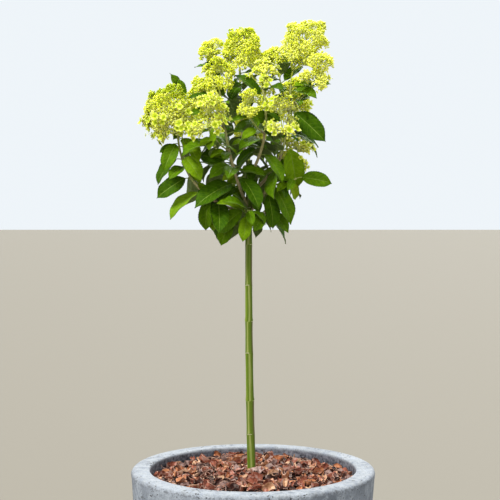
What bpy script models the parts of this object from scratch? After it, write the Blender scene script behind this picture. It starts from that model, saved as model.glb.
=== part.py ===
"""A panicle hydrangea grown as a standard: one clear green stem in a round cast pot, with bark mulch round
its foot and an open head of leafy shoots that end in lime green flower panicles.

Metres, +Z up. The origin is the middle of the pot's flat underside, and +Y points away from the front.
"""

import math
import random

import bmesh
import bpy
from mathutils import Matrix, Quaternion, Vector
from mathutils.bvhtree import BVHTree

# Gap kept between pieces that touch, and between leaves that nearly do.
GAP = 0.0003
LEAF_GAP = 0.0007

# Pot, a turned shell that tapers to its foot.
POT_HEIGHT = 0.400
POT_RIM_RADIUS = 0.260
POT_MOUTH_RADIUS = 0.220
POT_TAPER = math.radians(4.2)
POT_FOOT_RADIUS = POT_RIM_RADIUS - POT_HEIGHT * math.tan(POT_TAPER)
POT_WALL = 0.030
POT_FLOOR = 0.036
POT_LIP_DEPTH = 0.060
POT_LIP_ROUND = 0.009
POT_FOOT_ROUND = 0.005
POT_DRAIN_RADIUS = 0.014
POT_SEGMENTS = 48

# Filling: potting soil, and the bark that lies on it.
SOIL_TOP = 0.362
MULCH_EDGE_TOP = 0.372
MULCH_MOUND = 0.008
MULCH_BANDS = 6
MULCH_SEGMENTS = 24
BARK_RELIEF = 0.005
BARK_STRAY = 0.35

# Trunk, with a slight lean to the left and a pruned tip inside the head.
TRUNK_FOOT = Vector((-0.002, 0.0, SOIL_TOP + GAP))
TRUNK_TOP = Vector((-0.008, 0.002, 1.056))
TRUNK_SWAY = -0.0035
TRUNK_FOOT_RADIUS = 0.0090
TRUNK_TOP_RADIUS = 0.0064
TRUNK_FLARE = 0.0022
TRUNK_FLARE_HEIGHT = 0.014
SCAR_SPACING = 0.088
SCAR_SWELL = 0.0007
TRUNK_RINGS = 24

# Limbs and twigs: a bough is the bare foot of a shoot.
BOUGH_RADIUS = 0.0035
SHOOT_TIP_RADIUS = 0.0020
SIDE_TWIG_RADIUS = 0.0016
SIDE_TWIG_TAPER = 0.85
SIDE_TWIG_SAG = 0.12
BOUGH_SHARE = 0.17
BOUGH_STEPS = 4
SHOOT_STEPS = 8

# Leaf blade: folded along its midrib, bent down, and turned a little towards the light in front.
LEAF_WIDTH_SHARE = 0.50
LEAF_THICKNESS_SHARE = 0.012
LEAF_RINGS = 2
LEAF_FOLD = math.radians(17)
LEAF_BEND = math.radians(36)
LEAF_BROAD_SHIFT = 0.86
LEAF_FULLNESS = 0.90
LEAF_TIP_TAPER = 0.28
LEAF_LIGHT = Vector((0.23, -0.70, 0.0))
LEAF_LONG = 0.092
LEAF_SHORT = 0.060

# Petiole, which leaves its stem a little above level.
PETIOLE_LENGTH = 0.014
PETIOLE_RADIUS = 0.0011
PETIOLE_FLARE = 1.2
PETIOLE_SUNK = 0.14
PETIOLE_LIFT = math.radians(14)
PETIOLE_LEAST_RISE = math.radians(-20)

# Rule for the leaves: opposite pairs, each pair a quarter turn from the last. Low ones are long and hang.
# A leaf that has no room tries another place, strayed from its own by up to these angles.
LEAF_TRIES = 12
LOW_LEAF_Z = 0.96
HIGH_LEAF_Z = 1.22
LOW_LEAF_RISE = math.radians(-50)
HIGH_LEAF_RISE = math.radians(14)
FIRST_LEAF_SHARE = 0.27
LAST_LEAF_SHARE = 0.96
TURN_STRAY = 0.45
RISE_STRAY = 0.28
ROLL_STRAY = 0.35
LENGTH_SPREAD = (0.86, 1.08)
OUTLINE_STRAY = 0.03

# Panicles: a central stalk with tiers of branchlets, each under a dome of buds.
DOME_RADIUS = 0.0090
DOME_SHARE = 0.20
DOME_FLATNESS = 0.62
DOME_SPACING = 0.046
DOME_STRAY = 0.006
DOME_SPREAD = (0.80, 1.0)
DOME_SIZES = (0.86, 1.0)
TIER_SPACING = 0.040
LOWEST_TIER = 0.12
HIGHEST_TIER = 0.90
PANICLE_TAPER = 0.30
STALK_RADIUS = 0.0018
STALK_TIP_SHARE = 0.6
STALK_STEPS = 4
BRANCHLET_RADIUS = 0.0012
BRANCHLET_RUN = 0.25
LOWEST_BRANCHLET = 0.04

# Shoots: (name, height on the trunk, tip, share of the run outward and of the climb at the bend,
# leaf pairs, compass turn of the first pair in degrees). 0 degrees is right, -90 is the front.
SHOOTS = (
    ("left", 0.942, (-0.158, -0.020, 1.110), (0.95, 0.20), 5, -70),
    ("right", 0.946, (0.080, 0.003, 1.216), (0.95, 0.30), 5, -35),
    ("front_left", 0.954, (-0.070, -0.055, 1.206), (0.72, 0.34), 5, -20),
    ("back_left", 0.968, (-0.100, 0.112, 1.172), (0.80, 0.30), 5, 30),
    ("back_right", 0.984, (0.086, 0.112, 1.166), (0.80, 0.30), 5, 75),
    ("back", 1.000, (-0.008, 0.150, 1.118), (0.84, 0.28), 4, 10),
    ("centre_right", 1.020, (0.021, -0.034, 1.203), (1.70, 0.45), 5, -60),
    ("centre", 1.040, (-0.028, 0.040, 1.256), (0.95, 0.24), 5, 20),
)

# Side twigs: (name, shoot that bears it, how far up that shoot, tip).
SIDE_TWIGS = (
    ("front", "front_left", 0.56, (-0.091, -0.096, 1.118)),
    ("small_left", "front_left", 0.74, (-0.098, -0.034, 1.170)),
    ("left_back", "left", 0.70, (-0.158, 0.046, 1.184)),
    ("top_far_left", "centre", 0.86, (-0.076, 0.048, 1.262)),
    ("right_side", "right", 0.88, (0.126, -0.022, 1.216)),
    ("small_top", "right", 0.84, (0.054, 0.026, 1.254)),
    ("low_right", "right", 0.52, (0.060, -0.056, 1.112)),
    ("right_low", "right", 0.44, (0.086, 0.018, 1.056)),
    ("right_leafy", "right", 0.30, (0.092, -0.014, 1.018)),
    ("low_centre", "centre_right", 0.52, (-0.008, -0.070, 1.146)),
)

# Panicles: (name, which is that of the shoot or side twig that bears it, top, half width, bare share).
PANICLES = (
    ("right", (0.128, 0.000, 1.358), 0.053, 0.40),
    ("right_side", (0.150, -0.034, 1.288), 0.044, 0.00),
    ("centre", (-0.016, 0.040, 1.348), 0.055, 0.00),
    ("top_far_left", (-0.102, 0.048, 1.318), 0.042, 0.00),
    ("left", (-0.196, -0.020, 1.214), 0.063, 0.05),
    ("front", (-0.090, -0.104, 1.180), 0.046, 0.05),
    ("front_left", (-0.061, -0.052, 1.268), 0.040, 0.00),
    ("small_left", (-0.104, -0.034, 1.216), 0.022, 0.10),
    ("centre_right", (0.030, -0.036, 1.266), 0.034, 0.05),
    ("small_top", (0.044, 0.034, 1.304), 0.028, 0.20),
    ("low_centre", (-0.006, -0.074, 1.200), 0.031, 0.10),
    ("low_right", (0.050, -0.068, 1.190), 0.043, 0.10),
    ("right_low", (0.108, 0.016, 1.098), 0.034, 0.05),
    ("back_left", (-0.118, 0.130, 1.244), 0.048, 0.05),
    ("back_right", (0.100, 0.130, 1.250), 0.044, 0.05),
    ("back", (-0.008, 0.172, 1.190), 0.046, 0.05),
)

# Leaves that give the head its outline from the front: (shoot or side twig, how far up it, compass turn,
# rise above level, roll, length in metres). Angles in degrees.
OUTLINE_LEAVES = (
    ("left", 0.80, -60, -26, 20, 0.076),
    ("front_left", 0.26, -144, -16, 0, 0.100),
    ("front_left", 0.32, -48, -36, 0, 0.084),
    ("right", 0.83, -36, -36, 40, 0.092),
    ("right", 0.59, -24, -76, 20, 0.092),
    ("right_leafy", 0.99, -12, -6, 40, 0.068),
    ("left", 0.92, -120, -46, 0, 0.068),
    ("left", 0.59, -156, -26, -20, 0.076),
    ("left", 0.41, -156, -26, 20, 0.084),
    ("skirt_2", 0.99, -180, -36, -20, 0.076),
    ("front_left", 0.59, -144, 4, 20, 0.100),
    ("right_low", 0.36, -120, -36, 60, 0.092),
    ("right", 0.20, -48, -66, 0, 0.076),
    ("skirt_4", 0.99, -24, -36, 20, 0.060),
    ("skirt_2", 0.96, 120, -46, 40, 0.044),
    ("front_left", 0.20, -24, -46, 0, 0.060),
    ("front_left", 0.23, -144, -26, 0, 0.052),
    ("left", 0.29, -168, -76, 20, 0.068),
    ("left", 0.20, -168, -66, 20, 0.060),
    ("front_left", 0.68, 24, 14, 0, 0.108),
    ("front_left", 0.41, -96, -6, 0, 0.060),
    ("centre", 0.86, -108, -16, 0, 0.060),
    ("front_left", 0.89, -168, 24, 0, 0.060),
    ("small_top", 0.75, -120, 4, 0, 0.052),
    ("right", 0.98, 12, 14, 20, 0.052),
    ("small_top", 0.81, -72, 44, 0, 0.052),
    ("small_top", 0.96, 12, 64, 0, 0.052),
    ("right", 0.92, -132, -16, 0, 0.044),
    ("front_left", 0.47, 168, 14, -40, 0.068),
    ("front_left", 0.44, -132, -16, 0, 0.060),
    ("front", 0.15, 0, 24, -20, 0.068),
    ("centre", 0.32, 0, 4, -40, 0.060),
    ("centre", 0.20, -24, 4, -40, 0.068),
    ("front_left", 0.38, -24, 4, 0, 0.060),
    ("right_leafy", 0.84, -156, 4, 0, 0.044),
    ("left_back", 0.99, -96, 64, -20, 0.060),
    ("left_back", 0.96, -72, 64, 20, 0.052),
    ("left", 0.71, -120, -16, 0, 0.052),
    ("front_left", 0.95, 120, 64, 20, 0.044),
    ("front_left", 0.92, 84, 64, 0, 0.044),
    ("top_far_left", 0.78, -180, 24, 0, 0.052),
    ("front_left", 0.98, 24, 24, 0, 0.052),
    ("low_centre", 0.96, 36, -6, 60, 0.044),
)

# Skirt: short twigs round the top of the clear stem, whose leaves hang.
SKIRT_TWIGS = 6
SKIRT_LEAVES = 3
SKIRT_FIRST_TURN = math.radians(-150)
SKIRT_LEAF_TURN = math.radians(48)
SKIRT_Z = 0.928
SKIRT_STAGGER = 0.004
SKIRT_REACH = 0.036
SKIRT_CLIMB = 0.022
SKIRT_RADIUS = 0.0022
SKIRT_TAPER = 0.8
SKIRT_LEAF_RISE = math.radians(-50)
SKIRT_LEAF_SHARES = (0.96, 0.66)
SKIRT_LENGTH_SPREAD = (0.64, 0.92)

# Colour and roughness of each material.
FINISHES = {
    "pot_cement": ((0.56, 0.57, 0.60), 0.85),
    "potting_soil": ((0.05, 0.035, 0.025), 0.95),
    "bark_mulch": ((0.28, 0.12, 0.07), 0.85),
    "green_stem": ((0.20, 0.27, 0.06), 0.55),
    "young_wood": ((0.36, 0.33, 0.15), 0.60),
    "foliage": ((0.09, 0.20, 0.02), 0.45),
    "blossom": ((0.62, 0.66, 0.12), 0.60),
}


def blend(low, high, share):
    return low + (high - low) * share


def collection(name):
    made = bpy.data.collections.new(name)
    bpy.context.scene.collection.children.link(made)
    return made


def material(name):
    """The named finish as a Principled material."""
    known = bpy.data.materials.get(name)
    if known:
        return known
    colour, roughness = FINISHES[name]
    made = bpy.data.materials.new(name)
    made.use_nodes = True
    shader = made.node_tree.nodes["Principled BSDF"]
    shader.inputs["Base Color"].default_value = (*colour, 1.0)
    shader.inputs["Roughness"].default_value = roughness
    shader.inputs["Metallic"].default_value = 0.0
    made.diffuse_color = (*colour, 1.0)
    return made


def object_from(bm, name):
    """A new object on the workbench, with the mesh as it stands."""
    mesh = bpy.data.meshes.new(name)
    bm.to_mesh(mesh)
    bm.free()
    obj = bpy.data.objects.new(name, mesh)
    bpy.data.collections["workbench"].objects.link(obj)
    return obj


def evaluated_mesh(obj):
    """The object's mesh with its modifiers, as new data."""
    bpy.context.view_layer.update()
    graph = bpy.context.evaluated_depsgraph_get()
    return bpy.data.meshes.new_from_object(obj.evaluated_get(graph), depsgraph=graph)


def finish(obj, name, finish_name, angle=math.radians(40)):
    """Gives a finished solid its name, its material and smooth shading, and takes it off the workbench."""
    obj.name = name
    obj.data.name = name
    obj.data.materials.clear()
    obj.data.materials.append(material(finish_name))
    obj.data.shade_smooth()
    obj.data.set_sharp_from_angle(angle=angle)
    bpy.data.collections["workbench"].objects.unlink(obj)
    bpy.data.collections["panicle_hydrangea"].objects.link(obj)
    return obj


def turned(profile, closed, segments=POT_SEGMENTS):
    """A profile in the XZ plane turned round the Z axis. It runs down its outer side, top to bottom."""
    bm = bmesh.new()
    points = [bm.verts.new((x, 0.0, z)) for x, z in profile]
    for first, second in zip(points, points[1:] + points[:1] * closed):
        bm.edges.new((first, second))
    obj = object_from(bm, "turned")
    screw = obj.modifiers.new("turn", "SCREW")
    screw.steps = screw.render_steps = segments
    screw.use_merge_vertices = True
    screw.merge_threshold = 0.00001
    obj.data = evaluated_mesh(obj)
    obj.modifiers.clear()
    return obj


def arc(centre, radius, start, end, steps):
    """An arc of a profile, from one angle to another in degrees."""
    for k in range(steps + 1):
        angle = math.radians(blend(start, end, k / steps))
        yield centre[0] + radius * math.cos(angle), centre[1] + radius * math.sin(angle)


def tube_mesh(points, radii, resolution):
    """A bevelled curve through the points, as a closed mesh with its caps welded on."""
    curve = bpy.data.curves.new("line", "CURVE")
    curve.dimensions = "3D"
    curve.bevel_depth = 1.0
    curve.bevel_resolution = resolution
    curve.use_fill_caps = True
    spline = curve.splines.new("POLY")
    spline.points.add(len(points) - 1)
    for knot, point, radius in zip(spline.points, points, radii):
        knot.co = (*point, 1.0)
        knot.radius = radius
    guide = bpy.data.objects.new("line", curve)
    bpy.data.collections["workbench"].objects.link(guide)
    bm = bmesh.new()
    bm.from_mesh(evaluated_mesh(guide))
    bpy.data.objects.remove(guide, do_unlink=True)
    bmesh.ops.remove_doubles(bm, verts=bm.verts, dist=0.00002)
    bmesh.ops.recalc_face_normals(bm, faces=bm.faces)
    return bm


def cone_mesh(start, end, radii, sides):
    """A straight tapering twig between two points."""
    run = end - start
    turn = Vector((0, 0, 1)).rotation_difference(run.normalized()).to_matrix().to_4x4()
    place = Matrix.Translation((start + end) / 2) @ turn
    bm = bmesh.new()
    bmesh.ops.create_cone(
        bm, cap_ends=True, segments=sides, radius1=radii[0], radius2=radii[1], depth=run.length, matrix=place
    )
    return bm


def dome_mesh(foot, middle, radius):
    """A flattened head of buds. It looks away from its branchlet, and turns a face to it."""
    bm = bmesh.new()
    bmesh.ops.create_icosphere(bm, subdivisions=1, radius=1.0)
    bm.faces.ensure_lookup_table()
    settle = bm.faces[0].calc_center_median().rotation_difference(Vector((0, 0, -1)))
    turn = Vector((0, 0, 1)).rotation_difference((middle - foot).normalized())
    flat = Matrix.Diagonal((radius, radius, radius * DOME_FLATNESS, 1.0))
    shape = Matrix.Translation(middle) @ turn.to_matrix().to_4x4() @ flat @ settle.to_matrix().to_4x4()
    bmesh.ops.transform(bm, verts=bm.verts, matrix=shape)
    return bm


class Limb:
    """A shoot, side twig or flower stalk: a curve drawn towards a corner, and its radius along it."""

    def __init__(self, start, corner, end, radii):
        self.start, self.corner, self.end, self.radii = start, corner, end, radii

    def point(self, share):
        rest = 1 - share
        return self.start * rest * rest + self.corner * 2 * share * rest + self.end * share * share

    def heading(self, share):
        return (self.corner - self.start).lerp(self.end - self.corner, share).normalized()

    def radius(self, share):
        return blend(*self.radii, share)

    def mesh(self, first, last, steps, resolution):
        shares = [blend(first, last, k / steps) for k in range(steps + 1)]
        return tube_mesh([self.point(s) for s in shares], [self.radius(s) for s in shares], resolution)


def trunk_point(height):
    share = (height - TRUNK_FOOT.z) / (TRUNK_TOP.z - TRUNK_FOOT.z)
    return TRUNK_FOOT.lerp(TRUNK_TOP, share) + Vector((TRUNK_SWAY * math.sin(math.pi * share), 0, 0))


def trunk_radius(height):
    """The taper, the flare at the foot, and a slight swelling at each old leaf scar."""
    up = height - TRUNK_FOOT.z
    share = up / (TRUNK_TOP.z - TRUNK_FOOT.z)
    flare = TRUNK_FLARE * math.exp(-up / TRUNK_FLARE_HEIGHT)
    nearness = abs((up / SCAR_SPACING) % 1 - 0.5) * 2
    return blend(TRUNK_FOOT_RADIUS, TRUNK_TOP_RADIUS, share) + flare + SCAR_SWELL * nearness**6


def grow_limbs():
    """Every shoot and side twig, by name."""
    limbs = {}
    for name, height, tip, (outward, climb), _, _ in SHOOTS:
        start, end = trunk_point(height), Vector(tip)
        run = end - start
        corner = start + Vector((run.x * outward, run.y * outward, run.z * climb))
        limbs[name] = Limb(start, corner, end, (BOUGH_RADIUS, SHOOT_TIP_RADIUS))
    for name, bearer, share, tip in SIDE_TWIGS:
        start, end = limbs[bearer].point(share), Vector(tip)
        run = end - start
        corner = start + run / 2 + Vector((run.x, run.y, -run.length)) * SIDE_TWIG_SAG
        limbs[name] = Limb(start, corner, end, (SIDE_TWIG_RADIUS, SIDE_TWIG_RADIUS * SIDE_TWIG_TAPER))
    for index in range(SKIRT_TWIGS):
        limbs[f"skirt_{index + 1}"] = skirt_limb(index)
    return limbs


def compass(turn, rise):
    """The direction with this compass turn and this rise above level."""
    return Vector((math.cos(turn) * math.cos(rise), math.sin(turn) * math.cos(rise), math.sin(rise)))


class Leaf:
    """A leaf: the foot of its petiole on a stem, and its blade's base, axes and length."""

    def __init__(self, foot, stem_radius, turn, rise, roll, length):
        self.foot, self.length = foot, length
        start_rise = max(rise, PETIOLE_LEAST_RISE) / 2 + PETIOLE_LIFT
        reach = stem_radius + PETIOLE_LENGTH * length / LEAF_LONG
        self.base = foot + compass(turn, start_rise) * reach
        self.ahead = compass(turn, rise)
        behind = max(0.0, self.base.y / self.base.xy.length)
        level = (Vector((0, 0, 1)) + LEAF_LIGHT * (1 - behind)).cross(self.ahead).normalized()
        self.across = Quaternion(self.ahead, roll) @ level
        self.upper = self.ahead.cross(self.across)

    def point(self, share, side, lift):
        """A point of the blade: how far along it, -1 to 1 across it, and how far off its middle sheet."""
        angle = LEAF_BEND * share
        radius = self.length / LEAF_BEND
        swell = max(math.sin(math.pi * share**LEAF_BROAD_SHIFT), 0.0) ** LEAF_FULLNESS
        half = self.length * LEAF_WIDTH_SHARE / 2 * swell * (1 - LEAF_TIP_TAPER * share**5) * side
        normal = self.upper * math.cos(angle) + self.ahead * math.sin(angle)
        middle = self.base + (self.ahead * math.sin(angle) - self.upper * (1 - math.cos(angle))) * radius
        lift += abs(half) * math.sin(LEAF_FOLD)
        return middle + self.across * half * math.cos(LEAF_FOLD) + normal * lift

    def blade_mesh(self, grown=0.0):
        """A sphere of four meridians, drawn out to the blade's outline, fold and bend."""
        bm = bmesh.new()
        bmesh.ops.create_uvsphere(bm, u_segments=4, v_segments=LEAF_RINGS + 1, radius=1.0)
        thick = self.length * LEAF_THICKNESS_SHARE / 2 + grown
        for vertex in bm.verts:
            x, y, z = vertex.co
            ring = math.hypot(x, y)
            share = math.atan2(ring, z) / math.pi
            side, lift = (round(x / ring), round(y / ring)) if 0.001 < share < 0.999 else (0, 0)
            vertex.co = self.point(share, side, lift * thick) + (self.across * side + self.ahead * -z) * grown
        bmesh.ops.recalc_face_normals(bm, faces=bm.faces)
        return bm

    def petiole_mesh(self, radius=PETIOLE_RADIUS):
        return cone_mesh(self.foot, self.point(PETIOLE_SUNK, 0, 0), (radius * PETIOLE_FLARE, radius), 3)


def mass_of(limb_name):
    """The mass that a limb belongs to: a side twig is part of its shoot's."""
    return next((bearer for name, bearer, *_ in SIDE_TWIGS if name == limb_name), limb_name)


def rule_leaves(name, limb, pairs, first_turn):
    """A stem's leaves, pair by pair, each as the list of places that it may take."""
    dice = random.Random("leaves " + name)
    for pair in range(pairs):
        share = blend(FIRST_LEAF_SHARE, LAST_LEAF_SHARE, pair / max(pairs - 1, 1))
        height = (limb.point(share).z - LOW_LEAF_Z) / (HIGH_LEAF_Z - LOW_LEAF_Z)
        height = min(max(height, 0.0), 1.0)
        for side in range(2):
            aim, places = first_turn + math.pi / 2 * pair + math.pi * side, []
            for _ in range(LEAF_TRIES):
                turn = aim + dice.uniform(-TURN_STRAY, TURN_STRAY)
                rise = blend(LOW_LEAF_RISE, HIGH_LEAF_RISE, height) + dice.uniform(-RISE_STRAY, RISE_STRAY)
                roll = dice.uniform(-ROLL_STRAY, ROLL_STRAY)
                length = blend(LEAF_LONG, LEAF_SHORT, height) * dice.uniform(*LENGTH_SPREAD)
                places.append(Leaf(limb.point(share), limb.radius(share), turn, rise, roll, length))
            yield places


def outline_leaves(limbs, mass):
    """The chosen leaves of one mass, each as a list of places that stray from the first."""
    for name, share, turn, rise, roll, length in OUTLINE_LEAVES:
        if mass_of(name) == mass:
            dice = random.Random(f"outline {name} {share}")
            limb, places = limbs[name], []
            for k in range(LEAF_TRIES):
                stray = OUTLINE_STRAY * k
                angles = [math.radians(angle) + dice.uniform(-stray, stray) for angle in (turn, rise, roll)]
                places.append(Leaf(limb.point(share), limb.radius(share), *angles, length))
            yield places


def skirt_turn(index):
    return SKIRT_FIRST_TURN + math.tau * index / SKIRT_TWIGS


def skirt_limb(index):
    """A short twig of the skirt, from just off the trunk's side."""
    outward = compass(skirt_turn(index), 0)
    height = SKIRT_Z + SKIRT_STAGGER * (index % 3 - 1)
    start = trunk_point(height) + outward * (trunk_radius(height) + GAP)
    end = start + outward * SKIRT_REACH + Vector((0, 0, SKIRT_CLIMB))
    return Limb(start, start + outward * SKIRT_REACH / 2, end, (SKIRT_RADIUS, SKIRT_RADIUS * SKIRT_TAPER))


def skirt_leaves(index, limb):
    """The leaves at the tip of a skirt's twig, fanned out and hanging."""
    dice = random.Random(f"skirt {index}")
    for k in range(SKIRT_LEAVES):
        share, places = SKIRT_LEAF_SHARES[k % 2], []
        aim = skirt_turn(index) + SKIRT_LEAF_TURN * (k - (SKIRT_LEAVES - 1) / 2)
        for _ in range(LEAF_TRIES):
            turn = aim + dice.uniform(-TURN_STRAY, TURN_STRAY)
            rise = SKIRT_LEAF_RISE + dice.uniform(-RISE_STRAY, RISE_STRAY)
            length = LEAF_LONG * dice.uniform(*SKIRT_LENGTH_SPREAD)
            roll = dice.uniform(-ROLL_STRAY, ROLL_STRAY)
            places.append(Leaf(limb.point(share), limb.radius(share), turn, rise, roll, length))
        yield places


def panicle_parts(name, bearer, top, half_width, bare):
    """A panicle's stalk, and its domes of buds as (foot of the branchlet, middle of the dome, radius)."""
    dice = random.Random("panicle " + name)
    heading = bearer.heading(1)
    base = bearer.end + heading * GAP
    length = (top - base).length
    radius = DOME_RADIUS + DOME_SHARE * half_width
    radii = (STALK_RADIUS, STALK_RADIUS * STALK_TIP_SHARE)
    stalk = Limb(base, base + heading * length / 3, top - heading * radius, radii)
    tiers = max(2, math.ceil(length * (1 - bare) / TIER_SPACING))
    domes = []
    for tier in range(tiers):
        share = blend(bare + LOWEST_TIER, HIGHEST_TIER, tier / (tiers - 1))
        spread = (half_width - radius * DOME_SPREAD[0]) * (1 - PANICLE_TAPER * share**5)
        count = max(3, round(math.tau * spread / DOME_SPACING))
        sideways = stalk.heading(share).orthogonal().normalized()
        for k in range(count):
            turn = math.tau * (k + tier % 2 / 2) / count + dice.uniform(-RISE_STRAY, RISE_STRAY)
            outward = Quaternion(stalk.heading(share), turn) @ sideways
            middle = stalk.point(share) + outward * spread * dice.uniform(*DOME_SPREAD)
            middle += stalk.heading(share) * dice.uniform(-DOME_STRAY, DOME_STRAY)
            foot = stalk.point(max(share - BRANCHLET_RUN, LOWEST_BRANCHLET))
            domes.append((foot, middle, radius * dice.uniform(*DOME_SIZES)))
    domes.append((stalk.point(HIGHEST_TIER - BRANCHLET_RUN), top - stalk.heading(1) * radius, radius))
    return stalk, domes


class Space:
    """What stands in the head so far, so that each new piece keeps to its own place."""

    def __init__(self):
        self.taken = []

    def take(self, owner, bm):
        self.taken.append((owner, BVHTree.FromBMesh(bm)))

    def is_free(self, bm, owner=None):
        """Whether the mesh touches nothing but what its owner took."""
        tree = BVHTree.FromBMesh(bm)
        return not any(other != owner and tree.overlap(taken) for other, taken in self.taken)


def first_free(places, space, owner):
    """The first of a leaf's places where it touches nothing."""
    for leaf in places:
        blade, petiole = leaf.blade_mesh(LEAF_GAP), leaf.petiole_mesh(PETIOLE_RADIUS + LEAF_GAP)
        if space.is_free(blade) and space.is_free(petiole, owner):
            return leaf
    return None


def largest_shell(obj):
    """Keeps the outer skin alone: a loose scrap is dropped, and a sealed hollow is filled."""
    bm = bmesh.new()
    bm.from_mesh(obj.data)
    bmesh.ops.triangulate(bm, faces=bm.faces)
    bmesh.ops.dissolve_degenerate(bm, edges=bm.edges, dist=0.000003)
    left, shells = set(bm.faces), []
    while left:
        front = [left.pop()]
        shell = list(front)
        while front:
            face = front.pop()
            near = {other for edge in face.edges for other in edge.link_faces} & left
            left -= near
            front += near
            shell += near
        shells.append(shell)
    shells.sort(key=lambda shell: sum(face.calc_area() for face in shell))
    bmesh.ops.delete(bm, geom=[face for shell in shells[:-1] for face in shell], context="FACES")
    bm.to_mesh(obj.data)
    bm.free()


def boolean(obj, others, operation):
    """Joins or cuts obj with the other pieces in one go, and removes them."""
    group = collection("others")
    for other in others:
        group.objects.link(other)
    modifier = obj.modifiers.new(operation.lower(), "BOOLEAN")
    modifier.operation = operation
    modifier.operand_type = "COLLECTION"
    modifier.collection = group
    modifier.solver = "EXACT"
    obj.data = evaluated_mesh(obj)
    obj.modifiers.clear()
    for other in others:
        bpy.data.objects.remove(other, do_unlink=True)
    bpy.data.collections.remove(group)
    largest_shell(obj)
    return obj


def fuse(pieces):
    return boolean(pieces[0], pieces[1:], "UNION")


def trunk_mesh(grown=0.0):
    """The trunk, or with grown its cutter, which also stands out at both ends."""
    heights = [blend(TRUNK_FOOT.z, TRUNK_TOP.z, k / TRUNK_RINGS) for k in range(TRUNK_RINGS + 1)]
    heights.insert(1, TRUNK_FOOT.z + TRUNK_FLARE_HEIGHT / 2)
    points = [trunk_point(z) for z in heights]
    radii = [trunk_radius(z) + grown for z in heights]
    if grown:
        points[0] -= Vector((0, 0, grown))
        points[-1] += Vector((0, 0, grown))
    return tube_mesh(points, radii, 3)


def clear_of_trunk(obj):
    """Trims a piece to the trunk's surface, with the usual gap."""
    return boolean(obj, [object_from(trunk_mesh(GAP), "trunk_cutter")], "DIFFERENCE")


def inner_radius(z):
    """The pot's inner wall: straight behind the lip, then following the outer taper."""
    lip_foot = POT_HEIGHT - POT_LIP_DEPTH
    wall = POT_FOOT_RADIUS + lip_foot * math.tan(POT_TAPER) - POT_WALL
    if z >= lip_foot:
        return min(POT_MOUTH_RADIUS, wall)
    return min(POT_MOUTH_RADIUS, wall) - (lip_foot - z) * math.tan(POT_TAPER)


def make_pot():
    top, lip, foot = POT_HEIGHT, POT_LIP_ROUND, POT_FOOT_ROUND
    profile = [*arc((POT_MOUTH_RADIUS + lip / 2, top - lip / 2), lip / 2, 180, 90, 1)]
    profile += arc((POT_RIM_RADIUS - lip, top - lip), lip, 90, 0, 2)
    profile += arc((POT_FOOT_RADIUS - foot, foot), foot, 0, -90, 1)
    profile += [(POT_DRAIN_RADIUS, 0.0), (POT_DRAIN_RADIUS, POT_FLOOR)]
    profile += [(inner_radius(z), z) for z in (POT_FLOOR, top - POT_LIP_DEPTH)]
    finish(turned(profile, closed=True), "pot", "pot_cement")


def make_soil():
    levels = (SOIL_TOP, POT_HEIGHT - POT_LIP_DEPTH, POT_FLOOR + GAP)
    wall = [(inner_radius(z) - GAP, z) for z in levels]
    profile = [(0.0, SOIL_TOP), *wall, (0.0, POT_FLOOR + GAP)]
    finish(turned(profile, closed=False), "potting_soil", "potting_soil")


def mulch_top(radius):
    """The height of the bark's bed, mounded a little towards the stem."""
    return MULCH_EDGE_TOP + MULCH_MOUND * (1 - (radius / POT_MOUTH_RADIUS) ** 2)


def make_mulch():
    """A bed of bark on the soil, its top broken up into tilted flakes, cut clear of the trunk."""
    dice = random.Random("bark")
    edge = POT_MOUTH_RADIUS * math.cos(math.pi / POT_SEGMENTS) - GAP
    top = [(edge * k / MULCH_BANDS, mulch_top(edge * k / MULCH_BANDS)) for k in range(MULCH_BANDS + 1)]
    bed = turned([*top, (edge, SOIL_TOP + GAP), (0.0, SOIL_TOP + GAP)], closed=False, segments=MULCH_SEGMENTS)
    for vertex in bed.data.vertices:
        radius = vertex.co.xy.length
        if vertex.co.z > MULCH_EDGE_TOP and 0.5 < radius * MULCH_BANDS / edge < MULCH_BANDS - 0.5:
            turn = dice.uniform(-BARK_STRAY, BARK_STRAY) * math.tau / MULCH_SEGMENTS
            shift = dice.uniform(-BARK_STRAY, BARK_STRAY) * edge / MULCH_BANDS
            vertex.co = Matrix.Rotation(turn, 3, "Z") @ vertex.co * ((radius + shift) / radius)
            vertex.co.z = mulch_top(radius) + dice.uniform(-BARK_RELIEF, BARK_RELIEF)
    finish(clear_of_trunk(bed), "bark_mulch", "bark_mulch", angle=0.0)


def make_boughs(limbs, space):
    """The bare foot of each shoot, trimmed to the trunk."""
    for name, *_ in SHOOTS:
        bm = limbs[name].mesh(0, BOUGH_SHARE, BOUGH_STEPS, 1)
        space.take(name, bm)
        bough = clear_of_trunk(object_from(bm, "bough"))
        finish(bough, "bough_" + name, "young_wood")


def grow_stems(limbs, space):
    """The stem of each mass with its side twigs, as pieces by mass."""
    masses = {}
    for name, limb in limbs.items():
        mass = mass_of(name)
        if mass != name:
            bm = limb.mesh(0, 1, STALK_STEPS, 0)
        elif name.startswith("skirt"):
            bm = limb.mesh(0, 1, STALK_STEPS, 1)
        else:
            bm = limb.mesh(BOUGH_SHARE + GAP / (limb.end - limb.start).length, 1, SHOOT_STEPS, 1)
        space.take(mass, bm)
        masses.setdefault(mass, []).append(object_from(bm, "stem"))
    return masses


def grow_stalks(limbs, space):
    """The stalk of each panicle, with the domes that it is to bear, by panicle."""
    stalks = {}
    for name, top, half_width, bare in PANICLES:
        stalk, domes = panicle_parts(name, limbs[name], Vector(top), half_width, bare)
        stem = stalk.mesh(0, 1, STALK_STEPS, 0)
        space.take("panicle_" + name, stem)
        stalks["panicle_" + name] = ([object_from(stem, "stalk")], domes)
    return stalks


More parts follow.
